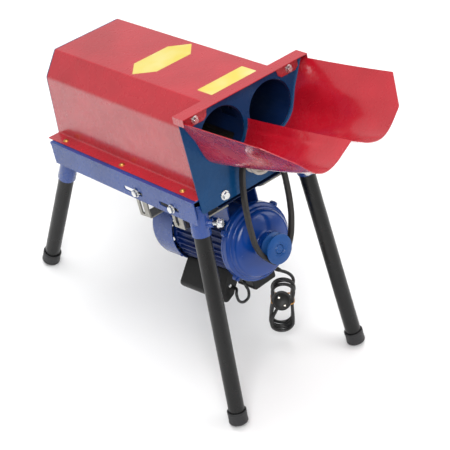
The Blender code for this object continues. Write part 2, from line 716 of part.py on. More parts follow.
def build_legs():
    corners = (("front_left", FRONT_SOCKET, FRONT_FOOT, -1, (0.53, -0.85, 0)),
               ("front_right", FRONT_SOCKET, FRONT_FOOT, 1, (-0.53, -0.85, 0)),
               ("rear_left", REAR_SOCKET, REAR_FOOT, -1, (0.53, 0.85, 0)),
               ("rear_right", REAR_SOCKET, REAR_FOOT, 1, (-0.53, 0.85, 0)))
    for label, socket, foot, side, clamp in corners:
        mouth, end, up = leg_axis(socket, foot, side)
        length = (mouth - end).length
        tube = turned("leg_" + label, ring(LEG_R - LEG_WALL, LEG_R, CAP_BASE + GAP, length + 58.0),
                      closed=True, steps=24)
        place(tube, end, up)
        finish(tube, BODY, DARK_GREY, 0.4)
        outer = [(LEG_R + GAP, 0.0), (LEG_R + GAP, SOCKET_LEN), (SOCKET_R, SOCKET_LEN),
                 (SOCKET_R, 1.0), (SOCKET_R - 1.0, 0.0)]
        sleeve = turned("socket_" + label, outer, closed=True, steps=20)
        place(sleeve, mouth, up)
        direction = Vector(clamp)
        direction = (direction - up * direction.dot(up)).normalized()
        at = mouth + up * 23.0
        boss = turned("cutter_boss_" + label, [(0, 26.0), (8.0, 26.0), (8.0, 16.7), (0, 16.7)],
                      steps=12, collection=CUTTERS)
        place(boss, at, direction)
        cut(sleeve, boss, "UNION", BODY)
        bore = turned("cutter_bore_" + label, [(0, 32.0), (4.3, 32.0), (4.3, 10.0), (0, 10.0)],
                      steps=16, collection=CUTTERS)
        place(bore, at, direction)
        cut(sleeve, bore, "DIFFERENCE", BODY)
        finish(sleeve, BODY, LIGHT_BLUE, 0.35)
        place_at = [(tuple(at + direction * 36.0), tuple(direction))]
        bolt = bolts("clamp_bolt_" + label, place_at, (15.0, 7.5, 9.5, 1.6, 3.9, 19.0))
        finish(bolt, BODY, ZINC, 0.3, 1.0)
        cup = [(0, 0), (0, CAP_BASE), (LEG_R + GAP, CAP_BASE), (LEG_R + GAP, CAP_LEN),
               (CAP_R - 0.6, CAP_LEN)]
        cup += arc(CAP_R - CAP_ROUND, CAP_ROUND, CAP_ROUND, 0, -90, 3)
        cap = turned("foot_cap_" + label, cup[1:] + [cup[0]], steps=20)
        place(cap, end, up)
        finish(cap, BODY, DARK_GREY, 0.7)


# ---------------------------------------------------------------- motor
def build_motor():
    outline = []
    pad_half = 34.0
    step = 360.0 / FINS
    for k in range(FINS):
        mid = step * k - 90.0
        off_top = abs((mid - 90.0 + 180.0) % 360.0 - 180.0)
        if off_top < pad_half:
            outline += arc(0, 0, BODY_ROOT_R, mid - step / 2, mid + step / 2, 2)[:-1]
            continue
        half_out = math.degrees(1.3 / FIN_R)
        half_in = math.degrees(1.7 / BODY_ROOT_R)
        outline += arc(0, 0, BODY_ROOT_R, mid - step / 2, mid - half_in, 1)
        outline += arc(0, 0, FIN_R, mid - half_out, mid + half_out, 1)
        outline += [arc(0, 0, BODY_ROOT_R, mid + half_in, mid + half_in + 1, 1)[0]]
    body = prism("motor_body", outline, "Y", BODY_S0, BODY_S1,
                 [circle(0, 0, MOTOR_SHAFT_R + 2.0, 24)])
    finish(body, MOTOR, NAVY, 0.35)

    bell = [(MOTOR_SHAFT_R + GAP, -71.0), (MOTOR_SHAFT_R + GAP, -20.0), (24.0, -20.0),
            (26.0, -29.0), (58.0, -35.5), (66.0, -40.5), (70.0, -51.0), (76.5, -54.0),
            (78.0, -56.0), (78.0, -71.0), (66.0, -71.0), (66.0, -56.0), (56.0, -46.0),
            (28.0, -44.0), (28.0, -71.0)]
    front = turned("motor_front_bell", bell, closed=True, steps=32)
    along_y(front)
    lugs = lug_cutter("cutter_front_lugs", 59.0, 69.0)
    cut(front, lugs, "UNION", MOTOR)
    finish(front, MOTOR, BLUE, 0.25)

    end = [(MOTOR_SHAFT_R + GAP, -(BODY_S1 + 14.0)), (MOTOR_SHAFT_R + GAP, -(BODY_S1 + GAP)),
           (66.0, -(BODY_S1 + GAP)), (68.0, -(BODY_S1 + 2.0)), (68.0, -(BODY_S1 + 10.0)),
           (60.0, -(BODY_S1 + 14.0))]
    rear = turned("motor_rear_bell", end, closed=True, steps=24)
    along_y(rear)
    finish(rear, MOTOR, NAVY, 0.4)

    s0, s1, r = 229.0, 300.0, 76.0
    shell = [(r - 1.5, -s0), (r, -s0), (r, -(s1 - 11.0))] + \
        [(a, -b) for a, b in arc(r - 11.0, s1 - 11.0, 11.0, 0, 90, 3)[1:]] + \
        [(6.0, -s1), (6.0, -(s1 - 1.5)), (r - 11.0, -(s1 - 1.5))] + \
        [(a, -b) for a, b in arc(r - 11.0, s1 - 11.0, 9.5, 90, 0, 3)[1:]]
    cowl = turned("fan_cowl", shell, closed=True, steps=32)
    along_y(cowl)
    for k in range(8):
        a = 2 * math.pi * k / 8
        u = Vector((math.cos(a), math.sin(a)))
        v = Vector((-math.sin(a), math.cos(a)))
        corners = [u * 20 - v * 3, u * 54 - v * 5, u * 54 + v * 5, u * 20 + v * 3]
        grille = prism("cutter_grille", [tuple(c) for c in corners], "Y", s1 - 6.0, s1 + 4.0,
                       collection=CUTTERS)
        cut(cowl, grille, "DIFFERENCE", MOTOR)
    finish(cowl, MOTOR, LIGHT_BLUE, 0.3)

    blades = []
    for k in range(8):
        a = 45.0 * k
        blades += arc(0, 0, 62.0, a - 1.6, a + 1.6, 1)
        blades += arc(0, 0, 18.0, a + 6.0, a + 39.0, 2)
    fan = prism("cooling_fan", blades, "Y", 247.0, 276.0,
                [circle(0, 0, MOTOR_SHAFT_R + GAP, 24)])
    finish(fan, ROTOR_AXIS, BLACK, 0.6)

    shaft = turned("rotor_shaft", [(0, 8.5), (MOTOR_SHAFT_R - 1, 8.5), (MOTOR_SHAFT_R, 7.5),
                                   (MOTOR_SHAFT_R, -281.0), (MOTOR_SHAFT_R - 1, -282.0),
                                   (0, -282.0)], steps=24)
    along_y(shaft)
    finish(shaft, ROTOR_AXIS, STEEL, 0.3, 1.0)


def lug_cutter(name, s0, s1):
    """Four bolt lugs round a motor end in one helper mesh."""
    bm = bmesh.new()
    for angle in (38, 142, 218, 322):
        a = math.radians(angle)
        turn = Matrix.Rotation(-a, 4, "Y")
        created = bmesh.ops.create_cube(bm, size=1.0)["verts"]
        for vert in created:
            local = Vector((vert.co.x * 16 + 77, vert.co.y * (s1 - s0) + (s0 + s1) / 2,
                            vert.co.z * 13))
            vert.co = (turn @ local) * MM
    mesh = bpy.data.meshes.new(name)
    bm.to_mesh(mesh)
    bm.free()
    return mesh_object(name, mesh, CUTTERS)


def build_motor_mount():
    path = [(-60.0, FOOT_Z + 3.0), (-35.0, FOOT_Z + 3.0)]
    path += arc(0, 0, BODY_ROOT_R + 3.0 + GAP, 122, 58, 10)
    path += [(35.0, FOOT_Z + 3.0), (60.0, FOOT_Z + 3.0)]
    saddle = prism("motor_foot", thick(path, 3.0), "Y", 73.0, 214.0)
    finish(saddle, MOTOR, BLUE, 0.35)

    for label, y_body in (("front", 64.0), ("rear", 173.0)):
        at = body_to_motor((0.0, y_body, SLOT_Z))
        for side, hand in ((-1, "left"), (1, "right")):
            build_hanger("hanger_" + label + "_" + hand, side, at)


def build_hanger(name, side, at):
    """Slotted strap with the bolt that clamps it to the rail and the bolt of the motor foot."""
    x_out = side * 149.2
    path = [(x_out, at[2] + 17.0), (x_out, FOOT_Z - GAP - 3.0), (side * 44.0, FOOT_Z - GAP - 3.0)]
    path = rounded(path, [0, 4, 0], 3, closed=False)
    outline = thick(path, -3.0 if side < 0 else 3.0)
    strap = prism(name, outline, "Y", at[1] - 19.0, at[1] + 13.0)
    r = 4.6
    slot = arc(at[1], at[2] + 9.0, r, 0, 180, 6) + arc(at[1], FOOT_Z + 8.0, r, 180, 360, 6)
    xs = sorted((side * 140.0, side * 155.0))
    helper = prism("cutter_slot_" + name, slot, "X", xs[0], xs[1], collection=CUTTERS)
    cut(strap, helper, "DIFFERENCE", MOTOR)
    outside = side * (152.6 + GAP)
    join_bolts(strap, [((outside, at[1], at[2]), (side, 0, 0))], (12.0, 5.0, 8.5, 1.4, 4.0, 9.5),
               MOTOR)
    nut = turned("cutter_nut_" + name, [(0, 6.0), (7.0, 6.0), (7.0, -0.1), (0, -0.1)], steps=6,
                 collection=CUTTERS)
    place(nut, (side * 146.2, at[1], at[2]), (-side, 0, 0))
    cut(strap, nut, "UNION", MOTOR)
    foot = [((side * 51.0, at[1], FOOT_Z - GAP - 2.8), (0, 0, -1))]
    foot_helper = bolts("cutter_foot_" + name, foot, (12.0, 5.0, 8.5, 1.4, 3.0, 1.0),
                        collection=CUTTERS)
    cut(strap, foot_helper, "UNION", MOTOR)
    finish(strap, MOTOR, STEEL, 0.45, 0.8)


def build_electrics():
    clear = FIN_R + 0.8
    lower = rounded([(-43.0, -76.0), (-58.0, -97.0), (-79.0, -107.0), (-91.0, -91.0), (-60.0, -54.0)],
                    [0, 7, 10, 9, 0], 3, closed=False)
    case = prism("capacitor_box", arc(0, 0, clear, 222, 236, 3) + lower, "Y", 94.0, 227.0)
    finish(case, MOTOR, BLACK, 0.6)
    outline = arc(0, 0, clear, 250, 297, 6) + [(TERMINAL_X, -70.0), (TERMINAL_X, -101.0),
                                             (-18.0, -103.5), (-26.0, -97.0)]
    terminal = prism("terminal_box", outline, "Y", 74.0, 124.0)
    finish(terminal, MOTOR, BLACK, 0.6)


# ---------------------------------------------------------------- cable, hank and plug
def world_to_body(point):
    """World millimetres written in body coordinates."""
    c = math.cos(math.radians(BODY_TILT))
    s = math.sin(math.radians(BODY_TILT))
    y = point[1] - Y_ORIGIN
    z = point[2] - LIFT
    return (point[0], y * c - z * s, y * s + z * c)


def motor_to_body(point):
    c = math.cos(math.radians(MOTOR_PITCH))
    s = math.sin(math.radians(MOTOR_PITCH))
    return (point[0], point[1] * c + point[2] * s + MOTOR_Y, -point[1] * s + point[2] * c + MOTOR_Z)


def body_to_world(point):
    c = math.cos(math.radians(BODY_TILT))
    s = math.sin(math.radians(BODY_TILT))
    return (point[0], point[1] * c + point[2] * s + Y_ORIGIN, -point[1] * s + point[2] * c + LIFT)


TERMINAL_X = 34.0
GLAND = (34.3, 86.0, -86.0)          # motor coordinates, on the terminal box's right end
GLAND_AIM = (0.70, 0.0, -0.71)
HANK_TOP = (56.2, -161.5, 171.0)     # world coordinates
HANK_H, HANK_W, HANK_T = 140.0, 46.0, 32.0
HANK_TURN = -40.0                    # degrees about the vertical
PLUG_FACE = (18.0, -197.3, 160.0)    # world coordinates of the face with the pins
PLUG_AIM = (-0.52, -0.55, 0.65)
PLUG_PINS = (0.09, -0.81, -0.58)


def build_cable():
    aim = Vector(GLAND_AIM).normalized()
    gland = turned("cable_gland", [(0, 3.0), (7.5, 3.0), (7.5, 0.0), (0, 0.0)], steps=20)
    place(gland, GLAND, (1, 0, 0))
    elbow = Vector(GLAND) + Vector((5.8, 0, 0))
    sleeve = turned("cutter_gland_sleeve", [(0, 15.0), (4.9, 15.0), (6.2, 4.0), (6.2, -1.0), (0, -1.0)],
                    steps=20, collection=CUTTERS)
    place(sleeve, elbow, aim)
    cut(gland, sleeve, "UNION", MOTOR)
    r = CABLE_D / 2 + GAP
    bore = turned("cutter_gland_bore", [(0, 20.0), (r, 20.0), (r, 0.5), (0, 0.5)], steps=20,
                  collection=CUTTERS)
    place(bore, elbow, aim)
    cut(gland, bore, "DIFFERENCE", MOTOR)
    finish(gland, MOTOR, BLACK, 0.6)

    lead_out = [Vector(body_to_world(motor_to_body(elbow + aim * d))) for d in (1.2, 12.0, 22.0, 32.0, 40.0)]
    top = Vector(HANK_TOP)
    controls = lead_out + [lead_out[-1].lerp(lead_out[-2], -0.45) - Vector((0.3, 0, 0.4))]
    path = smooth_path([tuple(p) for p in controls], 4)
    cable = tube_path("power_cable", [tuple(p) for p in path], CABLE_D / 2, 2)
    finish(cable, None, BLACK, 0.5, smooth=True)

    r = HANK_W / 2
    outline = arc(0, HANK_H / 2 - r, r, 0, 180, 10) + arc(0, -HANK_H / 2 + r, r, 180, 360, 10)
    hank = prism("cable_hank", outline, "Y", -HANK_T / 2, HANK_T / 2)
    centre = Vector((top.x, top.y, top.z - HANK_H / 2 - 1.6))
    turn = Matrix.Rotation(math.radians(HANK_TURN), 4, "Z")
    hank.data.transform(Matrix.Translation(centre * MM) @ turn)
    finish(hank, None, BLACK, 0.5)

    tie_out = rounded([(-r - 3.4, -HANK_T / 2 - 3.4), (r + 3.4, -HANK_T / 2 - 3.4),
                       (r + 3.4, HANK_T / 2 + 3.4), (-r - 3.4, HANK_T / 2 + 3.4)], 5.0, 3)
    tie_in = rounded([(-r - GAP, -HANK_T / 2 - GAP), (r + GAP, -HANK_T / 2 - GAP),
                      (r + GAP, HANK_T / 2 + GAP), (-r - GAP, HANK_T / 2 + GAP)], 0.6, 2)
    tie = prism("cable_tie", tie_out, "Z", -2.0, 2.0, [tie_in])
    tie.data.transform(Matrix.Translation((centre + Vector((0, 0, 14))) * MM) @ turn)
    finish(tie, None, GOLD_ZINC, 0.4)

    face = Vector(PLUG_FACE)
    axis = Vector(PLUG_AIM).normalized()
    across = Vector(PLUG_PINS)
    across = (across - axis * across.dot(axis)).normalized()
    frame = Matrix((across, axis.cross(across), axis)).transposed().to_4x4()
    frame = Matrix.Translation(face * MM) @ frame
    body = [(0, 0.0), (17.8, 0.0), (19.2, -1.5), (19.2, -13.0), (17.0, -18.0), (11.0, -27.0),
            (7.0, -33.0), (6.0, -37.0), (0, -37.0)]
    plug = turned("mains_plug", body, steps=20)
    plug.matrix_basis = frame
    for x, label in ((-9.5, "a"), (9.5, "b")):
        pin = turned("cutter_pin_" + label, [(0, 18.8), (1.2, 18.6), (2.4, 16.5), (2.4, -1.0), (0, -1.0)],
                     steps=12, collection=CUTTERS)
        pin.matrix_basis = frame @ Matrix.Translation((x * MM, 0, 0))
        cut(plug, pin, "UNION", None)
    finish(plug, None, BLACK, 0.5)

    lead = [(-54.0, 93.6, -84.0), (-55.0, 86.0, -85.0), (-62.0, 80.0, -92.0),
            (-61.0, 79.0, -106.0), (-51.0, 79.0, -114.0), (-38.0, 79.0, -111.0),
            (-33.0, 80.0, -99.0), (-33.5, 84.0, -88.0), (-31.0, 90.0, -80.0),
            (-28.4, 95.5, -77.5)]
    path = smooth_path(lead, 3)
    loop = tube_path("capacitor_lead", [tuple(p) for p in path], 2.9, 1)
    finish(loop, MOTOR, BLACK, 0.5, smooth=True)


build_hood()
build_panels()
build_cap_strip()
build_chute()
build_feed_tube("feed_tube_left", -1)
build_feed_tube("feed_tube_right", 1)
build_drum()
build_pulleys()
build_bearings()
build_grain_tray()
build_belt()
build_rails()
build_legs()
build_motor()
build_motor_mount()
build_electrics()
build_cable()
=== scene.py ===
"""Looks for the electric maize sheller: fine surfaces, materials, camera, light and floor.

Body coordinates are in millimetres: X to the right seen from the feed end, Y towards the outlet end,
Z square to the rails. The body leans back, and the motor has a small pitch of its own inside it.
"""

import math

import bmesh
import bpy
import numpy as np
from mathutils import Matrix, Vector

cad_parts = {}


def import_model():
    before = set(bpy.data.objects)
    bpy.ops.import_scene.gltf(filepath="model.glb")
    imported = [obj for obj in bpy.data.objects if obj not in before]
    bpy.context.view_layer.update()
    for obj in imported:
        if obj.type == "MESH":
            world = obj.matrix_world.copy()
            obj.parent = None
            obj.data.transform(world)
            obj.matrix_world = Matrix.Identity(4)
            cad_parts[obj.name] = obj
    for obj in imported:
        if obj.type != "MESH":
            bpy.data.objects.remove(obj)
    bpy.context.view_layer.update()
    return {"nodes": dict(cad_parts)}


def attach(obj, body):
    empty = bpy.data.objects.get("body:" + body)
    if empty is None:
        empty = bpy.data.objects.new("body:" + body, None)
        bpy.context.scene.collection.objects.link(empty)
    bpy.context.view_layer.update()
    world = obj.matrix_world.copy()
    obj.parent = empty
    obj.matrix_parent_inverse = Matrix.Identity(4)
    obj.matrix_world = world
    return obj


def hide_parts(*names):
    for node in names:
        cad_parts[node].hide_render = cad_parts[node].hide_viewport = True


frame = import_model()
NODES = frame["nodes"]

MM = 0.001
BODY_TILT, LIFT, Y_ORIGIN = 16.13, 39.85, -250.9
MOTOR_Y, MOTOR_Z, MOTOR_PITCH = -22.0, 277.0, 5.0
DRUM_Z = 474.0
SCENE = bpy.context.scene


# ------------------------------------------------------------------ frames
def turn_x(degrees):
    """Rotation by an angle in degrees about X."""
    a = math.radians(degrees)
    return np.array([[1, 0, 0], [0, math.cos(a), -math.sin(a)], [0, math.sin(a), math.cos(a)]])


def axis_frame(direction, hint=(0, 0, 1)):
    """Rotation whose third column is the direction."""
    w = np.array(direction, float)
    w = w / np.linalg.norm(w)
    u = np.cross(hint, w)
    if np.linalg.norm(u) < 1e-6:
        u = np.cross((0, 1, 0), w)
    u = u / np.linalg.norm(u)
    return np.stack([u, np.cross(w, u), w], axis=1)


R_BODY = turn_x(-BODY_TILT)
R_MOTOR = turn_x(-MOTOR_PITCH)


def body(p):
    """Body millimetres to world metres."""
    return (np.asarray(p, float) @ R_BODY.T + (0.0, Y_ORIGIN, LIFT)) * MM


def motor(p):
    """Motor millimetres to world metres."""
    return body(np.asarray(p, float) @ R_MOTOR.T + (0.0, MOTOR_Y, MOTOR_Z))


def world(p):
    """World millimetres to world metres."""
    return np.asarray(p, float) * MM


def local(origin, direction, frame_fn=body, hint=(0, 0, 1)):
    """A placing function for shapes made about their own Z axis."""
    turn = axis_frame(direction, hint)
    return lambda p: frame_fn(np.asarray(p, float) @ turn.T + origin)


# ------------------------------------------------------------------ camera
def make_camera():
    """Long lens; its place was worked out from the hood's, strip's and panel's straight edges."""
    right = Vector((0.7455, -0.6664, 0.006))
    up = Vector((0.4478, 0.5076, 0.7361))
    back = Vector((-0.4936, -0.5461, 0.6768))
    cam = bpy.data.cameras.new("view_camera")
    obj = bpy.data.objects.new("view_camera", cam)
    SCENE.collection.objects.link(obj)
    turn = Matrix((right, up, back)).transposed().to_4x4()
    obj.matrix_world = Matrix.Translation((-1.449, -1.402 + Y_ORIGIN * MM, 2.258)) @ turn
    cam.sensor_width = 36.0
    cam.lens = 120.1
    cam.clip_end = 60.0
    SCENE.camera = obj


make_camera()


# ------------------------------------------------------------------ finishes
PAINT_DUST, METAL_STAIN, BLACK_DUST, STICKER_WEAR = "#B9B4AC", "#4A443C", "#8A857C", "#C9A640"


def colour(text):
    """sRGB hex to linear RGBA."""
    c = np.array([int(text[i:i + 2], 16) / 255 for i in (1, 3, 5)])
    c = np.where(c <= 0.04045, c / 12.92, ((c + 0.055) / 1.055) ** 2.4)
    return (float(c[0]), float(c[1]), float(c[2]), 1.0)


class Finish:
    """One material. Its patterns sit on Object coordinates, and their sizes are real millimetres."""

    def __init__(self, name):
        self.material = bpy.data.materials.new(name)
        self.material.use_nodes = True
        self.tree = self.material.node_tree
        self.shader = self.tree.nodes["Principled BSDF"]
        self.surface = self.add("ShaderNodeTexCoord").outputs["Object"]

    def add(self, kind, settings=None, **inputs):
        """A node with its settings; each input is a value or another node's output."""
        node = self.tree.nodes.new(kind)
        for key, value in (settings or {}).items():
            setattr(node, key, value)
        return self.join(node, inputs)

    def join(self, node, inputs):
        """Sets inputs by label, with _ for each space, or by _ and a number."""
        for key, value in inputs.items():
            key = key.strip("_").replace("_", " ")
            socket = node.inputs[int(key) if key.isdigit() else key]
            if hasattr(value, "is_output"):
                self.tree.links.new(value, socket)
            else:
                socket.default_value = value
        return node

    def uneven(self, size_mm, heights, least, most, detail=3.0, rough=0.5):
        """Runs from least to most between two heights of noise that is about size_mm across."""
        noise = self.add("ShaderNodeTexNoise", Vector=self.surface, Scale=1000.0 / size_mm, Detail=detail,
                         Roughness=rough)
        ramp = self.add("ShaderNodeValToRGB", Fac=noise.outputs["Fac"])
        for stop, at, value in zip(ramp.color_ramp.elements, heights, (least, most)):
            stop.position = at
            stop.color = (value, value, value, 1.0)
        return ramp.outputs["Color"]

    def patches(self, size_mm, heights, under, over, most=1.0, detail=3.0, rough=0.5):
        """Patches of one colour over another, up to a share of most."""
        share = self.uneven(size_mm, heights, 0.0, most, detail, rough)
        blend = self.add("ShaderNodeMix", {"data_type": "RGBA"}, _0=share, _6=under, _7=over)
        return blend.outputs[2]

    def relief(self, size_mm, depth_mm, strength, detail=2.0):
        """Bumps about size_mm across and depth_mm deep."""
        noise = self.add("ShaderNodeTexNoise", Vector=self.surface, Scale=1000.0 / size_mm, Detail=detail,
                         Roughness=0.5)
        bump = self.add("ShaderNodeBump", Height=noise.outputs["Fac"], Distance=depth_mm * MM,
                        Strength=strength)
        return bump.outputs["Normal"]

    def done(self, **inputs):
        """Sets the shader's inputs and gives the material."""
        self.join(self.shader, inputs)
        return self.material


def paint(name, base, dark, rough, peel_mm=0.010, coat=0.35, gloss=0.5, dusty=0.10):
    """Sprayed or powdered paint: orange peel about 3 mm across, faint dust, tone drifting over 90 mm."""
    f = Finish(name)
    tone = f.patches(90.0, (0.35, 0.7), colour(base), colour(dark), detail=2.0)
    tone = f.patches(7.0, (0.62, 0.85), tone, colour(PAINT_DUST), dusty, detail=5.0, rough=0.7)
    sheen = f.uneven(22.0, (0.3, 0.75), rough - 0.05, rough + 0.09, detail=4.0)
    return f.done(Base_Color=tone, Roughness=sheen, Normal=f.relief(3.0, peel_mm, 0.6, detail=0.0),
                  Coat_Weight=coat, Coat_Roughness=0.12, Specular_IOR_Level=gloss)


def metal(name, base, dark, rough, grain_mm, depth_mm, spots):
    """Bare or plated metal: mottling about 9 mm across, small stains and a fine grain."""
    f = Finish(name)
    tone = f.patches(9.0, (0.35, 0.75), colour(base), colour(dark), detail=4.0, rough=0.6)
    tone = f.patches(2.5, (0.58, 0.8), tone, colour(METAL_STAIN), spots, detail=6.0, rough=0.75)
    sheen = f.uneven(5.0, (0.3, 0.75), rough - 0.08, rough + 0.12, detail=5.0)
    return f.done(Base_Color=tone, Metallic=1.0, Roughness=sheen, Normal=f.relief(grain_mm, depth_mm, 0.7))


def moulded(name, base, dark, rough, grain_mm, depth_mm, gloss=0.5):
    """Moulded plastic or rubber: fine spark texture, slow drift of tone and a little dust."""
    f = Finish(name)
    tone = f.patches(30.0, (0.3, 0.75), colour(base), colour(dark))
    tone = f.patches(3.0, (0.6, 0.85), tone, colour(BLACK_DUST), 0.05, detail=6.0, rough=0.7)
    sheen = f.uneven(6.0, (0.3, 0.75), rough - 0.07, rough + 0.10, detail=4.0)
    return f.done(Base_Color=tone, Roughness=sheen, Specular_IOR_Level=gloss,
                  Normal=f.relief(grain_mm, depth_mm, 0.8))


def sticker(name):
    """Plain yellow film with paler patches and light wear; it carries no lettering and no picture."""
    f = Finish(name)
    tone = f.patches(55.0, (0.35, 0.75), colour("#CDBB50"), colour("#D2C888"), detail=2.0)
    tone = f.patches(2.0, (0.6, 0.9), tone, colour(STICKER_WEAR), 0.12, detail=5.0)
    return f.done(Base_Color=tone, Roughness=0.34, Coat_Weight=0.3, Normal=f.relief(4.0, 0.006, 0.5))


def make_materials():
    """Every finish by the name that the pieces ask for."""
    return {
        # powder coat under strong gloss: the red goes pale pink where it mirrors a light
        "red": paint("red_powder_coat", "#B01426", "#A00E1F", 0.26, 0.006, 0.8, 0.7),
        # powder coat of the rails and sockets: an even, slightly violet blue
        "blue": paint("blue_powder_coat", "#1A4088", "#153678", 0.26, 0.010, 0.15, 0.5, 0.04),
        # the panels' coat is greener and darker, with hardly any shine
        "panel_blue": paint("deep_blue_powder_coat", "#08406E", "#063760", 0.26, 0.010, 0.0, 0.22, 0.03),
        # satin enamel on the lower pulley's flat face
        "pulley_blue": paint("blue_pulley_enamel", "#174C8C", "#12407A", 0.28, 0.010, 0.0, 0.3, 0.03),
        # enamel over a casting: deep blue, with rings of light on the end bell
        "motor_blue": paint("blue_motor_enamel", "#073A86", "#052C6C", 0.2, 0.02, 0.1, 0.4, 0.03),
        # the motor's enamel painted darker as shade, for the finned casing and the rear bell where little
        # light reaches
        "painted_shade_motor_blue": paint("blue_enamel_painted_shade", "#04225E", "#03163F", 0.3, 0.03, 0.0, 0.3, 0.03),
        # paint rubbed dull by the cobs, its blue painted dark as the shade inside the feed tubes and the
        # tray
        "painted_shade_tube_blue": paint("blue_inside_painted_shade", "#0A2450", "#061733", 0.42, 0.02, 0.0, 0.3, 0.05),
        # semi-gloss powder coat on the legs: black with a long soft streak of light
        "leg": paint("black_powder_coat", "#161616", "#111111", 0.3, 0.015, 0.0, 0.32, 0.05),
        # thin dark paint on the beater drum, worn to brown
        "drum": paint("dark_drum_paint", "#33302C", "#1E1C1A", 0.5, 0.03, 0.0),
        # bolts plated with zinc: bright, cool and a little cloudy
        "zinc": metal("bright_zinc_plate", "#E2E2E0", "#C6C8CA", 0.26, 0.8, 0.004, 0.15),
        # flange screws with yellow passivation: warm brass tone
        "gold": metal("yellow_zinc_plate", "#D8A860", "#C08A4A", 0.32, 0.8, 0.004, 0.2),
        # sand-cast iron, unpainted: grey and grainy
        "cast": metal("bare_cast_iron", "#B6AEA6", "#96908A", 0.5, 0.9, 0.03, 0.3),
        # galvanised flat bar: dull grey with spangle
        "strap": metal("galvanised_strap", "#A8A69E", "#8C8A84", 0.45, 1.2, 0.01, 0.3),
        # lathe-turned steel: smooth and grey
        "steel": metal("turned_steel", "#BDBAB4", "#A09C96", 0.3, 0.5, 0.004, 0.2),
        # nickel-plated brass pins: near white and shiny
        "nickel": metal("nickel_pins", "#E8E2D8", "#D4CCC0", 0.18, 0.6, 0.002, 0.05),
        # lacquered tie wire
        "tie": metal("gold_tie_wire", "#D9A25A", "#B87F3C", 0.3, 0.5, 0.004, 0.1),
        # moulded rubber feet: charcoal and matt
        "rubber": moulded("black_foot_rubber", "#202022", "#1A1A1B", 0.5, 0.8, 0.02),
        # fabric-wrapped rubber: brownish black, the weave drawn coarser than it is so that it shows
        "belt": moulded("belt_rubber", "#191613", "#221E1A", 0.62, 0.5, 0.02),
        # spark-textured plastic of the boxes and the plug
        "plastic": moulded("black_box_plastic", "#0D0D0E", "#090909", 0.42, 0.6, 0.02, 0.3),
        # soft PVC sheath: black with a faint shine along each turn
        "sheath": moulded("cable_sheath", "#0E0E0F", "#141415", 0.34, 1.0, 0.01),
        "sticker": sticker("yellow_sticker"),
    }


MAT = make_materials()


# ------------------------------------------------------------------ mesh helpers
def solid(name, verts, faces, look, rides="frame", stands_for=(), sharp=32, bevel=0.0):
    """A mesh object from numpy vertices and faces, turned outward, shaded smooth with sharp edges."""
    verts = np.asarray(verts, float).reshape(-1, 3)
    mesh = bpy.data.meshes.new(name)
    mesh.from_pydata(verts.tolist(), [], [list(map(int, f)) for f in faces])
    mesh.validate()
    mesh.update()
    if volume(mesh) < 0:
        mesh.flip_normals()
    mesh.shade_smooth()
    if sharp:
        mesh.set_sharp_from_angle(angle=math.radians(sharp))
    obj = bpy.data.objects.new(name, mesh)
    SCENE.collection.objects.link(obj)
    mesh.materials.append(MAT[look])
    if bevel:
        soften(obj, bevel)
    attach(obj, rides)
    if stands_for:
        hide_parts(*stands_for)
    return obj


def volume(mesh):
    """Signed volume by the divergence theorem: sum of a.(b x c)/6 over the triangles."""
    mesh.calc_loop_triangles()
    co = np.zeros(len(mesh.vertices) * 3, np.float32)
    tri = np.zeros(len(mesh.loop_triangles) * 3, np.int32)
    mesh.vertices.foreach_get("co", co)
    mesh.loop_triangles.foreach_get("vertices", tri)
    p = co.reshape(-1, 3)[tri.reshape(-1, 3)].astype(float)
    return float(np.einsum("ij,ij->i", p[:, 0], np.cross(p[:, 1], p[:, 2])).sum() / 6)


def soften(obj, width, segments=3):
    """Rounds edges sharper than 35 degrees over a width in millimetres."""
    mod = obj.modifiers.new("edge", "BEVEL")
    mod.width = width * MM
    mod.segments = segments
    mod.limit_method = "ANGLE"
    mod.angle_limit = math.radians(35)
    mod.harden_normals = True


def quads(rows, cols, wrap_rows, wrap_cols):
    """Faces of a grid of rows by cols points, joined round where asked."""
    r = np.arange(rows if wrap_rows else rows - 1)
    c = np.arange(cols if wrap_cols else cols - 1)
    a, b = np.meshgrid(r, c, indexing="ij")
    a2, b2 = (a + 1) % rows, (b + 1) % cols
    return np.stack([a * cols + b, a * cols + b2, a2 * cols + b2, a2 * cols + b], -1).reshape(-1, 4)


def lathe(name, profile, place, look, seg=96, closed=False, **rest):
    """Surface of revolution: (r cos t, r sin t, h) over a profile of (r, h) points.

    A closed profile makes a ring; an open one starts and ends on the axis, closed by fans.
    """
    prof = np.array(profile, float)
    t = np.linspace(0, 2 * math.pi, seg, endpoint=False)
    if closed:
        pts = np.stack([prof[:, :1] * np.cos(t), prof[:, :1] * np.sin(t),
                        np.repeat(prof[:, 1:], seg, 1)], -1)
        return solid(name, place(pts.reshape(-1, 3)), quads(len(prof), seg, True, True), look, **rest)
    inner = prof[1:-1]
    pts = np.stack([inner[:, :1] * np.cos(t), inner[:, :1] * np.sin(t),
                    np.repeat(inner[:, 1:], seg, 1)], -1).reshape(-1, 3)
    n = len(pts)
    pts = np.vstack([pts, [[0, 0, prof[0, 1]], [0, 0, prof[-1, 1]]]])
    faces = quads(len(inner), seg, False, True).tolist()
    last = (len(inner) - 1) * seg
    for k in range(seg):
        j = (k + 1) % seg
        faces.append([n, j, k])
        faces.append([n + 1, last + k, last + j])
    return solid(name, place(pts), faces, look, **rest)


def prism(name, outline, axis, lo, hi, place, look, **rest):
    """A flat outline run along an axis; the outline is (y, z), (x, z) or (x, y) for X, Y or Z."""
    o = np.array(outline, float)
    n = len(o)
    pts = []
    for level in (lo, hi):
        flat = np.full(n, level)
        columns = {"X": (flat, o[:, 0], o[:, 1]), "Y": (o[:, 0], flat, o[:, 1]),
                   "Z": (o[:, 0], o[:, 1], flat)}[axis]
        pts.append(np.stack(columns, 1))
    faces = quads(2, n, False, True).tolist() + [list(range(n))[::-1], list(range(n, 2 * n))]
    return solid(name, place(np.vstack(pts)), faces, look, **rest)


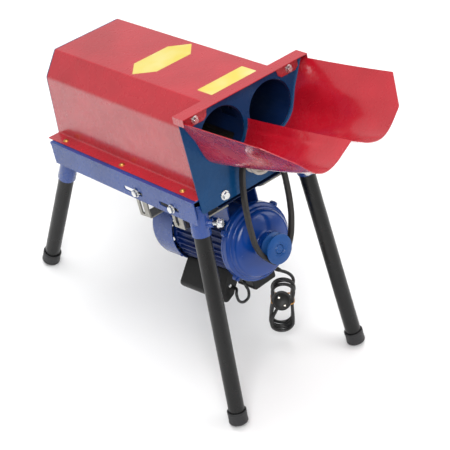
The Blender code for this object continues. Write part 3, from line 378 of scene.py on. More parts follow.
def plate(name, outline, holes, y0, y1, place, look, **rest):
    """A flat plate in the XZ plane with holes, filled as a 2D curve and then made a mesh."""
    curve = bpy.data.curves.new(name + "_outline", "CURVE")
    curve.dimensions = "2D"
    curve.fill_mode = "BOTH"
    curve.extrude = (y1 - y0) / 2
    for loop in [outline] + list(holes):
        spline = curve.splines.new("POLY")
        spline.points.add(len(loop) - 1)
        for point, (a, b) in zip(spline.points, loop):
            point.co = (a, b, 0.0, 1.0)
        spline.use_cyclic_u = True
    carrier = bpy.data.objects.new(name + "_outline", curve)
    mesh = bpy.data.meshes.new_from_object(carrier)
    bpy.data.objects.remove(carrier)
    co = np.zeros(len(mesh.vertices) * 3, np.float32)
    mesh.vertices.foreach_get("co", co)
    co = co.reshape(-1, 3).astype(float)
    keys, index = np.unique(np.round(co, 3), axis=0, return_inverse=True)
    index = index.reshape(-1)
    faces = [[int(index[v]) for v in p.vertices] for p in mesh.polygons]
    pts = np.stack([keys[:, 0], keys[:, 2] + (y0 + y1) / 2, keys[:, 1]], 1)
    obj = solid(name, place(pts), faces, look, **rest)
    orient(obj)
    return obj


def orient(obj):
    """Make every face point outward."""
    bm = bmesh.new()
    bm.from_mesh(obj.data)
    bmesh.ops.recalc_face_normals(bm, faces=bm.faces)
    bm.to_mesh(obj.data)
    bm.free()


def sweep(name, path, section, place, look, closed=False, **rest):
    """A section (a, b) swept along a path: p + a*u + b*w, with u and w carried along without twist."""
    p = np.array(path, float)
    nxt = np.roll(p, -1, 0) if closed else np.vstack([p[1:], 2 * p[-1] - p[-2]])
    prv = np.roll(p, 1, 0) if closed else np.vstack([2 * p[0] - p[1], p[:-1]])
    t = nxt - prv
    t /= np.linalg.norm(t, axis=1)[:, None]
    u = np.zeros_like(p)
    start = np.cross(t[0], (0.3, 0.5, 0.8))
    u[0] = start / np.linalg.norm(start)
    for i in range(1, len(p)):
        v = u[i - 1] - t[i] * np.dot(u[i - 1], t[i])
        u[i] = v / np.linalg.norm(v)
    w = np.cross(t, u)
    s = np.array(section, float)
    pts = p[:, None] + u[:, None] * s[None, :, :1] + w[:, None] * s[None, :, 1:]
    faces = quads(len(p), len(s), closed, True).tolist()
    if not closed:
        n = len(s)
        faces += [list(range(n))[::-1], list(range((len(p) - 1) * n, len(p) * n))]
    return solid(name, place(pts.reshape(-1, 3)), faces, look, **rest)


def circle(r, n=20, cx=0.0, cz=0.0):
    """n points round a circle of radius r about (cx, cz)."""
    t = np.linspace(0, 2 * math.pi, n, endpoint=False)
    return np.stack([cx + r * np.cos(t), cz + r * np.sin(t)], 1)


def arc(cx, cz, r, a0, a1, n):
    """n + 1 points (cx + r cos a, cz + r sin a), with a running from a0 to a1 degrees."""
    t = np.radians(np.linspace(a0, a1, n + 1))
    return [(cx + r * math.cos(a), cz + r * math.sin(a)) for a in t]


def polar(radius, degrees):
    """The point at a radius and an angle about the origin."""
    a = math.radians(degrees)
    return (radius * math.cos(a), radius * math.sin(a))


def rounded(points, radii, count=8, closed=True):
    """Corners of a polyline turned into arcs of the given radii."""
    pts = [np.array(p, float) for p in points]
    n = len(pts)
    out = []
    for i, p in enumerate(pts):
        r = radii[i] if isinstance(radii, (list, tuple)) else radii
        if r <= 0 or (not closed and i in (0, n - 1)):
            out.append(tuple(p))
            continue
        a = pts[i - 1] - p
        b = pts[(i + 1) % n] - p
        a /= np.linalg.norm(a)
        b /= np.linalg.norm(b)
        half = math.acos(float(np.clip(a @ b, -1, 1))) / 2
        mid = a + b
        centre = p + mid / np.linalg.norm(mid) * (r / math.sin(half))
        s = p + a * r / math.tan(half) - centre
        e = p + b * r / math.tan(half) - centre
        sweep_angle = math.atan2(s[0] * e[1] - s[1] * e[0], s @ e)
        for k in range(count + 1):
            q = sweep_angle * k / count
            out.append((centre[0] + s[0] * math.cos(q) - s[1] * math.sin(q),
                        centre[1] + s[0] * math.sin(q) + s[1] * math.cos(q)))
    return out


def spline(controls, per):
    """Catmull-Rom points through the controls."""
    c = np.array(controls, float)
    c = np.vstack([2 * c[0] - c[1], c, 2 * c[-1] - c[-2]])
    t = np.linspace(0, 1, per, endpoint=False)[:, None]
    out = []
    for i in range(1, len(c) - 2):
        a, b, d, e = c[i - 1], c[i], c[i + 1], c[i + 2]
        out.append(0.5 * (2 * b + (d - a) * t + (2 * a - 5 * b + 4 * d - e) * t ** 2
                          + (3 * b - a - 3 * d + e) * t ** 3))
    return np.vstack(out + [c[-2:-1]])


def thick(path, t):
    """A polyline closed into a strip of thickness t, on the right of its direction."""
    p = np.array(path, float)
    d = np.diff(p, axis=0)
    d /= np.linalg.norm(d, axis=1)[:, None]
    n = np.stack([d[:, 1], -d[:, 0]], 1)
    first, last = n[:1], n[-1:]
    m = np.vstack([first, n[:-1] + n[1:], last])
    m /= np.linalg.norm(m, axis=1)[:, None]
    k = (m * np.vstack([first, n[1:], last])).sum(1)
    return np.vstack([p, (p + m * (t / k)[:, None])[::-1]])


def hex_bolt(name, at, direction, width, head, washer, look="zinc", frame_fn=body, stands_for=(),
             shank=(4.0, 0.5)):
    """Hexagon head with a rounded top over a round washer and a short shank."""
    place = local(at, direction, frame_fn)
    k = np.arange(48)
    t = 2 * math.pi * k / 48
    flat = np.cos(math.pi / 6) / np.cos((t + math.pi / 6) % (math.pi / 3) - math.pi / 6)
    one = np.ones(48)
    r = width / 2 / math.cos(math.pi / 6)
    rows = [(shank[0] * one, -shank[1]), (shank[0] * one, 0.0), (washer[0] * one, 0.0),
            (washer[0] * one, washer[1] * 0.8), ((washer[0] - 0.5) * one, washer[1]),
            (r * flat, washer[1]), (r * flat, washer[1] + head * 0.84),
            (np.minimum(r * flat, width / 2 * 1.0), washer[1] + head * 0.95),
            (0.92 * width / 2 * one, washer[1] + head), (0.4 * width / 2 * one, washer[1] + head)]
    pts = np.vstack([np.stack([a * np.cos(t), a * np.sin(t), np.full(48, h)], 1) for a, h in rows])
    faces = quads(len(rows), 48, False, True).tolist()
    faces += [list(range(48))[::-1], list(range((len(rows) - 1) * 48, len(rows) * 48))]
    return solid(name, place(pts), faces, look, stands_for=stands_for, sharp=28)


# ------------------------------------------------------------------ mains cable, hank and plug
CABLE_D = 6.6
GLAND_AT = np.array([40.1, 86.0, -86.0])
GLAND_AIM = np.array([0.70, 0.0, -0.71]) / math.hypot(0.70, 0.71)
HANK_CENTRE = np.array([56.2, -161.5, 99.4])
HANK_ACROSS = np.array([math.cos(math.radians(40)), -math.sin(math.radians(40)), 0.0])
HANK_FRONT = np.array([-math.sin(math.radians(40)), -math.cos(math.radians(40)), 0.0])
HANK_A, HANK_RUN, HANK_STEP, TURNS = 22.4, 45.0, 7.3, 3.5
TIE_Z = 14.0
PLUG_FACE = np.array([18.0, -197.3, 160.0])
PLUG_AIM = np.array([-0.52, -0.55, 0.65]) / np.linalg.norm((-0.52, -0.55, 0.65))
PLUG_PINS = np.array([0.09, -0.81, -0.58])


def hank_place(u, v, w):
    """Hank coordinates, across, up and forward, to world millimetres."""
    return HANK_CENTRE + HANK_ACROSS * u + HANK_FRONT * w + np.array([0.0, 0.0, v])


def hank_point(t):
    """Turn t of a flat racetrack that starts at the top of the right run, one unit a turn.

    Each half turn is a straight of 2 x HANK_RUN and a half circle of radius HANK_A. The depth
    grows evenly with t, the runs draw together at the tie, and the ends fan out a little.
    """
    straight, bend = 2 * HANK_RUN, math.pi * HANK_A
    s = (t % 1.0) * 2 * (straight + bend)
    if s < straight:
        u, v = HANK_A, HANK_RUN - s
    elif s < straight + bend:
        q = (s - straight) / HANK_A
        u, v = HANK_A * math.cos(q), -HANK_RUN - HANK_A * math.sin(q)
    elif s < 2 * straight + bend:
        u, v = -HANK_A, -HANK_RUN + (s - straight - bend)
    else:
        q = (s - 2 * straight - bend) / HANK_A
        u, v = -HANK_A * math.cos(q), HANK_RUN + HANK_A * math.sin(q)
    pinch = math.exp(-((v - TIE_Z) / 30.0) ** 2)
    far = min(1.0, abs(v) / HANK_RUN) ** 2
    v -= math.copysign(far * (2.0 - 2.0 * math.cos(3.1 * t + 1.0)), v)
    w = (t - TURNS / 2) * HANK_STEP * (1 - 0.08 * pinch)
    return hank_place(u * (1 - 0.16 * pinch) + far * 1.0 * math.sin(4.1 * t), v, w)


def relax(points, rounds):
    """Each inner point moved to the middle of its neighbours, again and again: no tight bends."""
    p = points.copy()
    for _ in range(rounds):
        p[1:-1] = 0.25 * p[:-2] + 0.5 * p[1:-1] + 0.25 * p[2:]
    return p


def even(points, step):
    """Points at even arc length."""
    s = np.concatenate([[0], np.cumsum(np.linalg.norm(np.diff(points, axis=0), axis=1))])
    want = np.linspace(0, s[-1], int(round(s[-1] / step)) + 1)
    return np.stack([np.interp(want, s, points[:, k]) for k in range(3)], 1)


def cable_route():
    """Gland, straight to the right run, three and a half turns, then up the middle to the plug."""
    lead = [motor(GLAND_AT + GLAND_AIM * d) / MM for d in (1.5, 10.0, 20.0, 30.0)]
    lead += [hank_place(3.0, 80.5, -9.6), hank_place(13.5, 71.0, -11.6), hank_place(20.4, 59.0, -12.4)]
    turns = [hank_point(t) for t in np.arange(0.0, TURNS + 0.001, 1 / 28)]
    tail = [hank_place(-21.6, -36.0, 12.4), hank_place(-18.2, -25.0, 10.6),
            hank_place(-12.6, -13.0, 6.6), hank_place(-6.8, -2.0, 2.6), hank_place(-4.2, 9.0, 1.8)]
    tail += [PLUG_FACE - PLUG_AIM * d for d in (62.0, 56.0, 50.0, 42.0, 34.0)]
    path = even(spline(lead + turns + tail, 8), 2.0)
    return relax(path, 8)


def make_cable():
    """Round section swept along the laid route; its length is the sum of the route's steps."""
    route = cable_route()
    cable = sweep("mains_cable", route, circle(CABLE_D / 2, 16), world, "sheath", sharp=0,
                  stands_for=("power_cable", "cable_hank"))
    pins = make_plug()
    tie = make_tie()


def make_plug():
    """Round two-pin plug: rubber body with finger ribs, flat face with a raised rim and two pins."""
    u = PLUG_PINS - PLUG_AIM * (PLUG_PINS @ PLUG_AIM)
    u = u / np.linalg.norm(u)
    turn = np.stack([u, np.cross(PLUG_AIM, u), PLUG_AIM], 1)
    place = lambda p: world(np.asarray(p, float) @ turn.T + PLUG_FACE)
    profile = [(0, -0.9), (13.5, -0.9), (14.6, -0.2), (15.2, 0.0), (17.6, 0.0), (18.6, -0.4),
               (19.1, -1.6), (19.2, -5.0), (18.6, -5.6), (18.6, -6.6), (19.2, -7.2), (19.2, -9.4),
               (18.6, -10.0), (18.6, -11.0), (19.0, -11.6), (18.4, -14.6), (16.4, -18.6),
               (12.6, -23.8), (9.6, -28.4), (7.4, -32.0), (6.4, -34.8), (6.0, -36.6), (5.2, -37.0),
               (0, -37.0)]
    shell = lathe("plug_body", profile, place, "plastic", seg=72, stands_for=("mains_plug",), sharp=38)
    out = [shell]
    for x, tag in ((-9.5, "a"), (9.5, "b")):
        pin = [(0, 18.6), (1.0, 18.5), (1.9, 17.8), (2.4, 16.6), (2.4, -0.6), (0, -0.6)]
        out.append(lathe("plug_pin_" + tag, pin, lambda p, x=x: place(np.asarray(p) + (x, 0, 0)),
                         "nickel", seg=24))
    relief = [(3.9, -34.0), (6.0, -36.0), (5.6, -40.0), (4.9, -47.0), (4.3, -54.0), (3.6, -56.0),
              (3.4, -54.0), (3.4, -36.0)]
    out.append(lathe("plug_relief", relief, place, "plastic", seg=36, closed=True))
    return out


def make_tie():
    """Twist tie: two turns of wire round the pinched hank, ends twisted together at the side."""
    across, depth = HANK_A * 0.84 + 4.4, 12.6 * 0.92 + 4.4
    loop = rounded([(-across, -depth), (across, -depth), (across, depth), (-across, depth)], 9.0, 8)
    pts = []
    n = len(loop)
    for k in range(2 * n + 1):
        u, w = loop[(k + 4) % n]
        pts.append(HANK_CENTRE + HANK_ACROSS * u + HANK_FRONT * w
                   + np.array([0, 0, TIE_Z - 1.5 + 3.0 * k / (2 * n)]))
    end = pts[-1]
    for k in range(1, 10):
        a = k * 1.3
        pts.append(end + HANK_ACROSS * (1.0 * k) + HANK_FRONT * (1.2 * math.cos(a) + 0.3 * k)
                   + np.array([0, 0, 1.2 * math.sin(a) + 0.5 * k]))
    return sweep("twist_tie", spline(pts, 2), circle(0.9, 10), world, "tie", sharp=0,
                 stands_for=("cable_tie",))


def make_gland():
    """Ribbed sleeve tapering along the cable's first run, and its base on the terminal box."""
    place = local(GLAND_AT, GLAND_AIM, motor)
    profile = [(CABLE_D / 2 + 0.15, -0.8), (CABLE_D / 2 + 0.15, 21.0), (3.9, 21.2), (4.2, 20.0),
               (5.2, 8.0), (5.0, 7.6), (5.3, 7.0), (5.1, 6.6), (5.6, 5.8), (6.2, 3.6), (6.2, -0.8)]
    lathe("gland_sleeve", profile[::-1], place, "plastic", seg=40, closed=True,
          stands_for=("cable_gland",))
    base = [(0, 3.0), (6.6, 3.0), (7.3, 2.6), (7.5, 2.0), (7.5, 0.0), (0, 0.0)]
    lathe("gland_base", base, local((34.3, 86.0, -86.0), (1, 0, 0), motor), "plastic", seg=40)


make_cable()
make_gland()


# ------------------------------------------------------------------ hood, panels, strip and chute
def make_hood():
    """Half-section mirrored, made 1.5 mm thick and run along the body; then screws and stickers."""
    half = [(-146.1, 450.5), (-119.6, 450.5), (-113.9, 571.4), (-79.9, 617.7)]
    path = half + [(-x, z) for x, z in half[::-1]]
    path = rounded(path, [0, 2.5, 16, 4, 4, 16, 2.5, 0], 10, closed=False)
    prism("hood_sheet", thick(path, 1.5), "Y", -5.7, 464.0, body, "red", stands_for=("hood",),
          sharp=40, bevel=0.35)
    for side, tag in ((-1, "left"), (1, "right")):
        for k, y in enumerate((44.0, 230.0, 417.0)):
            pan = [(0, 3.3), (2.2, 3.2), (3.8, 2.4), (4.4, 1.4), (4.5, 0.9), (5.6, 0.8), (6.3, 0.4),
                   (6.3, 0.0), (0, 0.0)]
            place = local((side * 134.5, y, 450.5), (0, 0, 1))
            lathe("hood_screw_%s_%d" % (tag, k), pan, place, "gold", seg=32)
            # the cross recess is drawn as two thin bars in the belt's black: painted shade in the recess
            for turn in (0.4, 0.4 + math.pi / 2):
                c, s = math.cos(turn), math.sin(turn)
                bar = np.array([(-2.0, -0.35), (2.0, -0.35), (2.0, 0.35), (-2.0, 0.35)])
                bar = bar @ [[c, s], [-s, c]]
                prism("hood_screw_slot_%s_%d_%d" % (tag, k, turn > 1), bar, "Z", 2.6, 3.34, place,
                      "belt")
    hexagon = rounded([(-73, 218), (-41.5, 183), (41.5, 183), (73, 218), (41.5, 253),
                       (-41.5, 253)], 2.0, 4)
    prism("sticker_hexagon", hexagon, "Z", 617.66, 617.78, body, "sticker")
    label = rounded([(-54, 8), (54, 8), (54, 49), (-54, 49)], 2.0, 4)
    prism("sticker_plate", label, "Z", 617.66, 617.78, body, "sticker")


def make_panels():
    """End sheets 2 mm thick with two feed holes and a shaft hole, and their bolts."""
    outline = rounded([(-137.3, 417.3), (137.3, 417.3), (147.4, 617.4), (-147.4, 617.4)],
                      [7, 7, 1.0, 1.0], 8)
    holes = [circle(50.8, 128, -58.1, 548.5), circle(50.8, 128, 58.1, 548.5),
             circle(12.0, 48, 0, DRUM_Z)]
    plate("feed_panel", outline, holes, -8.0, -6.0, body, "panel_blue",
          stands_for=("front_panel",), bevel=0.3)
    outline = rounded([(-119.6, 428.0), (119.6, 428.0), (113.9, 571.4), (79.9, 617.7),
                       (-79.9, 617.7), (-113.9, 571.4)], [4, 4, 16, 6, 6, 16], 8)
    plate("outlet_panel", outline, holes, 464.3, 466.3, body, "panel_blue",
          stands_for=("rear_panel",), bevel=0.3)
    for side, tag in ((-1, "left"), (1, "right")):
        hex_bolt("feed_panel_bolt_" + tag, (side * 81.6, -8.2, 431.0), (0, -1, 0), 13.0, 5.6,
                 (9.5, 1.5), stands_for=("panel_bolt_" + tag,))
        hex_bolt("strip_tab_bolt_" + tag, (side * 113.0, -10.0, 600.0), (0, -1, 0), 10.0, 4.4,
                 (8.0, 1.2), stands_for=("tab_bolt_" + tag,))


def chute_section(points, count):
    """Even steps by arc length along a Catmull-Rom curve through half-section points."""
    dense = spline(points, 24)
    s = np.concatenate([[0], np.cumsum(np.linalg.norm(np.diff(dense, axis=0), axis=1))])
    want = np.linspace(0, s[-1], count + 1)
    return np.stack([np.interp(want, s, dense[:, k]) for k in (0, 1)], 1)


def make_chute():
    """Trough surface: section blends from two round troughs at the panel to a flat wave at the end."""
    near = [(0.0, 551.5), (4.5, 532.0)] + arc(58.1, 548.5, 55.0, 200, 345, 8) \
        + [(120.0, 560.0), (133.0, 586.0), (145.5, 611.0)]
    far = [(0.0, 581.0), (18.0, 570.5), (40.0, 558.5), (60.0, 553.5), (77.0, 556.5), (94.0, 568.0),
           (116.0, 591.0), (137.0, 611.0), (155.0, 628.5)]
    half, rows = 72, 60
    a, b = chute_section(near, half), chute_section(far, half)
    k = np.abs(np.arange(-half, half + 1))
    sign = np.where(np.arange(-half, half + 1) < 0, -1.0, 1.0)
    s = np.linspace(0, 1, rows + 1)[:, None]
    blend = s * (1.0 - 0.25 * (1.0 - s))
    p = a[k][None] * (1 - blend[..., None]) + b[k][None] * blend[..., None]
    short = np.clip((k / half - 0.72) / 0.28, 0, 1)[None]
    y = -11.0 + s * (-271.0 + 45.0 * short)
    top = np.stack([p[..., 0] * sign, np.broadcast_to(y, p[..., 0].shape), p[..., 1]], -1)
    du = np.gradient(top, axis=1)
    dv = np.gradient(top, axis=0)
    n = np.cross(du, dv)
    n /= np.linalg.norm(n, axis=-1)[..., None]
    n *= np.where(n[..., 2:].mean() > 0, -1.0, 1.0)
    low = top + n * 1.5
    rc, cc = top.shape[:2]
    m = rc * cc
    f1 = quads(rc, cc, False, False)
    faces = f1[:, ::-1].tolist() + (f1 + m).tolist()
    i = np.arange(cc - 1)
    j = np.arange(rc - 1)
    for e, flip in ((np.stack([i, i + 1], 1), 1), (np.stack([i, i + 1], 1) + (rc - 1) * cc, 0),
                    (np.stack([j, j + 1], 1) * cc, 0), (np.stack([j, j + 1], 1) * cc + cc - 1, 1)):
        q = np.stack([e[:, 0], e[:, 1], e[:, 1] + m, e[:, 0] + m], 1)
        faces += (q[:, ::-1] if flip else q).tolist()
    pts = np.vstack([top.reshape(-1, 3), low.reshape(-1, 3)])
    obj = solid("feed_trough", body(pts), faces, "red", stands_for=("feed_chute",), sharp=50)
    orient(obj)


make_hood()
make_panels()
make_chute()


# ------------------------------------------------------------------ pulleys and belt
def pulley(bore, r, w, hub, rim=0.8):
    """Ring profile of a V pulley with a dished face and a raised hub."""
    return [(bore, w / 2 - 1.6), (bore + hub, w / 2 - 1.6), (bore + hub + 1.0, w / 2 - 2.4),
            (r - 6.5, w / 2 - 2.4), (r - 5.4, w / 2 - 0.6), (r - 4.6, w / 2), (r - rim, w / 2),
            (r - 0.2, w / 2 - 0.3), (r, w / 2 - 0.9), (r, 7.0), (r - 0.4, 6.7), (r - 11.6, 3.2),
            (r - 12.0, 2.9), (r - 12.0, -2.9), (r - 11.6, -3.2), (r - 0.4, -6.7), (r, -7.0),
            (r, 0.9 - w / 2), (r - 0.2, 0.3 - w / 2), (r - rim, -w / 2), (bore, -w / 2)]


def make_pulleys():
    """The drum's cast pulley and the motor's painted one, both lathed about their shafts."""
    place = local((0, MOTOR_Y, DRUM_Z), (0, -1, 0))
    lathe("upper_pulley", pulley(10.3, 31.0, 20.0, 7.0)[::-1], place, "cast", seg=96, closed=True,
          rides="drum", stands_for=("drum_pulley",), sharp=30)
    place = local((0, 0, 0), (0, -1, 0), motor)
    flat = [(9.8, 8.6), (12.5, 8.6), (13.6, 9.9), (14.6, 10.0), (29.2, 10.0), (29.8, 9.7), (30.0, 9.1),
            (30.0, 7.0), (29.6, 6.7), (18.4, 3.2), (18.0, 2.9), (18.0, -2.9), (18.4, -3.2),
            (29.6, -6.7), (30.0, -7.0), (30.0, -9.1), (29.8, -9.7), (29.2, -10.0), (9.8, -10.0)]
    lathe("lower_pulley", flat[::-1], place, "pulley_blue", seg=96, closed=True, rides="rotor",
          stands_for=("motor_pulley",), sharp=30)
    cap = [(0, 8.8), (3.0, 8.8), (3.6, 9.3), (7.6, 9.3), (8.6, 8.6), (9.3, 7.6), (9.3, 2.0), (0, 2.0)]
    lathe("lower_pulley_screw", cap, place, "pulley_blue", seg=40, rides="rotor", sharp=30)


def belt_loop():
    """Centre line of the slack belt as (x, z), smooth and symmetric."""
    upper, lower = 28.8, 26.8
    right = [(upper * math.cos(math.radians(a)), DRUM_Z + upper * math.sin(math.radians(a)))
             for a in (78, 55, 36)]
    right += [(34.5, 481.0), (43.0, 461.0), (48.5, 430.0), (51.0, 390.0), (50.5, 350.0),
              (46.5, 313.0), (37.5, 284.0)]
    right += [(lower * math.cos(math.radians(a)), MOTOR_Z + lower * math.sin(math.radians(a)))
              for a in (-42, -66)]
    loop = [(0.0, DRUM_Z + upper)] + right + [(0.0, MOTOR_Z - lower)] + [(-x, z) for x, z in right[::-1]]
    c = np.array(loop)
    n = len(c)
    out = []
    t = np.linspace(0, 1, 10, endpoint=False)[:, None]
    for i in range(n):
        a, b, d, e = c[i - 1], c[i], c[(i + 1) % n], c[(i + 2) % n]
        out.append(0.5 * (2 * b + (d - a) * t + (2 * a - 5 * b + 4 * d - e) * t ** 2
                          + (3 * b - a - 3 * d + e) * t ** 3))
    return np.vstack(out)


def make_belt():
    """V section swept round the loop, leaning into the motor's plane near the lower pulley."""
    p = belt_loop()
    t = np.roll(p, -1, 0) - np.roll(p, 1, 0)
    t /= np.linalg.norm(t, axis=1)[:, None]
    out = np.stack([-t[:, 1], t[:, 0]], 1)
    centre = np.array([0.0, (DRUM_Z + MOTOR_Z) / 2])
    out *= np.sign((out * (p - centre)).sum(1))[:, None]
    lean = np.radians(MOTOR_PITCH) * np.clip((330.0 - p[:, 1]) / 60.0, 0, 1)
    section = rounded([(-6.3, 4.0), (6.3, 4.0), (4.0, -4.0), (-4.0, -4.0)], 0.9, 3)
    s = np.array(section)
    x = p[:, :1] + out[:, :1] * s[None, :, 1]
    z = p[:, 1:] + out[:, 1:] * s[None, :, 1]
    y = MOTOR_Y + (z - MOTOR_Z) * np.tan(lean)[:, None] + s[None, :, 0]
    pts = np.stack([x, y, z], -1).reshape(-1, 3)
    solid("drive_belt", body(pts), quads(len(p), len(s), True, True), "belt", stands_for=("v_belt",))


make_pulleys()
make_belt()


# ------------------------------------------------------------------ legs, sockets and feet
SOCKETS = {"front": ((133.0, 15.5, 365.0), (162.0, -12.9, -41.0), (0.53, -0.85, 0)),
           "rear": ((132.0, 458.0, 353.5), (160.0, 571.0, 128.0), (0.53, 0.85, 0))}


def leg_line(end, side):
    """Socket mouth, foot point on the floor and direction, in body millimetres."""
    mouth, foot, clamp = (np.array(v, float) for v in SOCKETS[end])
    for v in (mouth, foot):
        v[0] *= side
    clamp[0] *= -side
    up = (mouth - foot) / np.linalg.norm(mouth - foot)
    tilt = math.radians(BODY_TILT)
    rise = up[2] * math.cos(tilt) - up[1] * math.sin(tilt)
    lean = math.sqrt(1 - rise * rise)
    lowest = foot[2] * math.cos(tilt) - foot[1] * math.sin(tilt) + LIFT - 14.9 * lean - 4.5 * (1 - rise)
    return mouth, foot - up * (lowest / rise), up, clamp


def make_legs():
    """Each leg: tube, rubber shoe, sleeve, and a clamp bolt in a boss square to the tube."""
    for end in ("front", "rear"):
        for side, hand in ((-1, "left"), (1, "right")):
            tag = end + "_" + hand
            mouth, foot, up, clamp = leg_line(end, side)
            length = float(np.linalg.norm(mouth - foot))
            place = local(foot, up)
            tube = [(14.5, 4.4), (16.0, 4.4), (16.0, length + 57.5), (15.6, length + 58.0),
                    (14.5, length + 58.0)]
            lathe("tube_" + tag, tube, place, "leg", seg=72, closed=True,
                  stands_for=("leg_" + tag,), sharp=30)
            cap = [(0, 0.02), (10.0, 0.02), (14.7, 0.02)] + arc(14.7, 4.5, 4.5, -90, 0, 8)[1:]
            cap += [(19.2, 6.0), (18.9, 6.3), (18.9, 22.0), (19.2, 22.4), (19.2, 27.2), (18.9, 27.8),
                    (18.4, 28.0), (17.0, 28.0), (16.2, 27.4), (16.2, 4.2), (0, 4.2)]
            lathe("shoe_" + tag, cap[::-1], place, "rubber", seg=72, stands_for=("foot_cap_" + tag,),
                  sharp=35)
            place = local(mouth, up)
            sleeve = [(16.3, 0.0), (17.6, 0.0), (18.2, 0.4), (18.5, 1.1), (18.5, 63.4), (18.1, 64.0),
                      (16.3, 64.0)]
            lathe("sleeve_" + tag, sleeve, place, "blue", seg=72, closed=True,
                  stands_for=("socket_" + tag,), sharp=30)
            clamp = clamp - up * (clamp @ up)
            clamp = clamp / np.linalg.norm(clamp)
            at = mouth + up * 23.0
            boss = [(0, 26.0), (6.6, 26.0), (7.6, 25.6), (8.0, 24.8), (8.0, 20.2), (8.6, 18.8),
                    (10.2, 17.4), (10.4, 16.6), (0, 16.6)]
            lathe("boss_" + tag, boss, local(at, clamp), "blue", seg=48, sharp=35)
            shaft = [(0, 36.2), (3.9, 36.2), (3.9, 20.0), (0, 20.0)]
            lathe("clamp_thread_" + tag, shaft, local(at, clamp), "zinc", seg=32)
            hex_bolt("clamp_head_" + tag, at + clamp * 36.0, clamp, 15.0, 7.4, (9.5, 1.6),
                     stands_for=("clamp_bolt_" + tag,))


make_legs()


# ------------------------------------------------------------------ motor
def turned(a):
    """A turn by the angle a about the motor's axis, and the placing function that makes it."""
    turn = np.array([[math.cos(a), 0, -math.sin(a)], [0, 1, 0], [math.sin(a), 0, math.cos(a)]])
    return turn, lambda p: motor(np.asarray(p, float) @ turn.T)


def make_motor():
    """Casing with radial fins, end bell, lugs, fan cover and grille, about the motor's Y axis."""
    fins, root, tip = 34, 63.0, 70.0
    outline = []
    step = 360.0 / fins
    foot_half = 34.0    # no fins within this angle of the foot
    for k in range(fins):
        mid = step * k - 90.0
        if abs((mid - 90.0 + 180.0) % 360.0 - 180.0) < foot_half:
            outline += arc(0, 0, root, mid - step / 2, mid + step / 2, 6)[:-1]
            continue
        half_out, half_in = math.degrees(1.0 / tip), math.degrees(1.7 / root)
        outline += arc(0, 0, root, mid - step / 2, mid - half_in - 0.5, 2)
        outline += [polar(root * 1.008, mid - half_in), polar(tip - 0.5, mid - half_out - 0.25)]
        outline += arc(0, 0, tip, mid - half_out + 0.2, mid + half_out - 0.2, 2)
        outline += [polar(tip - 0.5, mid + half_out + 0.25), polar(root * 1.008, mid + half_in)]
        outline += arc(0, 0, root, mid + half_in + 0.5, mid + step / 2, 2)[:-1]
    # the casing takes the motor enamel painted darker: painted shade between the fins
    prism("motor_casing", outline, "Y", 71.3, 224.0, motor, "painted_shade_motor_blue", stands_for=("motor_body",),
          sharp=50)
    place = local((0, 0, 0), (0, -1, 0), motor)
    bell = [(9.8, -20.4), (10.4, -20.0), (22.6, -20.0), (23.6, -20.6), (24.0, -21.6), (25.2, -28.4)]
    bell += [(26.6, -29.8), (30.0, -30.6), (44.0, -32.4), (56.0, -34.4), (61.0, -36.2), (64.4, -38.8),
             (66.6, -42.2), (67.6, -45.4), (69.4, -46.2), (70.6, -47.2), (71.2, -48.8), (71.6, -51.6),
             (73.6, -52.4), (75.8, -53.2), (77.2, -54.2), (77.9, -55.6), (78.0, -57.0), (78.0, -62.6),
             (77.4, -63.2), (77.4, -64.6), (78.0, -65.2), (78.0, -70.4), (77.4, -71.0), (66.0, -71.0),
             (66.0, -56.0), (56.0, -46.0), (28.0, -44.0), (28.0, -71.0), (9.8, -71.0)]
    lathe("motor_end_bell", bell[::-1], place, "motor_blue", seg=128, closed=True,
          stands_for=("motor_front_bell",), sharp=32)
    for k, angle in enumerate((38, 142, 218, 322)):
        turn, spot = turned(math.radians(angle))
        lug = rounded([(70.0, -6.5), (81.5, -6.5), (85.0, -3.6), (85.0, 3.6), (81.5, 6.5), (70.0, 6.5)],
                      1.2, 4)
        prism("bell_lug_%d" % k, lug, "Y", 59.0, 69.0, spot, "motor_blue", bevel=0.8)
        hex_bolt("bell_lug_bolt_%d" % k, (turn @ np.array([81.0, 58.9, 0.0])), (0, -1, 0), 5.5, 2.4,
                 (3.4, 0.5), "motor_blue", motor, shank=(1.5, 0.4))
    shell = [(74.5, -229.0), (76.0, -229.0), (76.0, -289.0)]
    shell += [(a, -b) for a, b in arc(65.0, 289.0, 11.0, 0, 90, 10)[1:]]
    shell += [(56.0, -300.0), (56.0, -298.5), (65.0, -298.5)]
    shell += [(a, -b) for a, b in arc(65.0, 289.0, 9.5, 90, 0, 10)[1:]]
    lathe("fan_cover", shell[::-1], place, "blue", seg=128, closed=True,
          stands_for=("fan_cowl",), sharp=35)
    for k, (r0, r1) in enumerate(((7.0, 17.0), (22.0, 26.0), (32.0, 36.0), (42.0, 46.0), (52.0, 56.4))):
        ring = [(r0, -298.5), (r1, -298.5), (r1, -299.7), (r1 - 0.3, -300.0), (r0 + 0.3, -300.0),
                (r0, -299.7)]
        lathe("grille_ring_%d" % k, ring, place, "blue", seg=96, closed=True, sharp=35)
    for k in range(8):
        _, spot = turned(math.pi * k / 4 + 0.2)
        bar = [(12.0, -1.6), (55.0, -1.6), (55.0, 1.6), (12.0, 1.6)]
        prism("grille_spoke_%d" % k, bar, "Y", 298.4, 299.4, spot, "blue")
    for k, angle in enumerate((35, 145, 215, 325)):
        a = math.radians(angle)
        head = [(0, 2.2), (1.6, 2.1), (2.8, 1.5), (3.3, 0.6), (3.3, 0.0), (0, 0.0)]
        at = np.array([75.9 * math.cos(a), 236.0, 75.9 * math.sin(a)])
        lathe("cover_screw_%d" % k, head, local(at, (math.cos(a), 0, math.sin(a)), motor), "blue", seg=24)


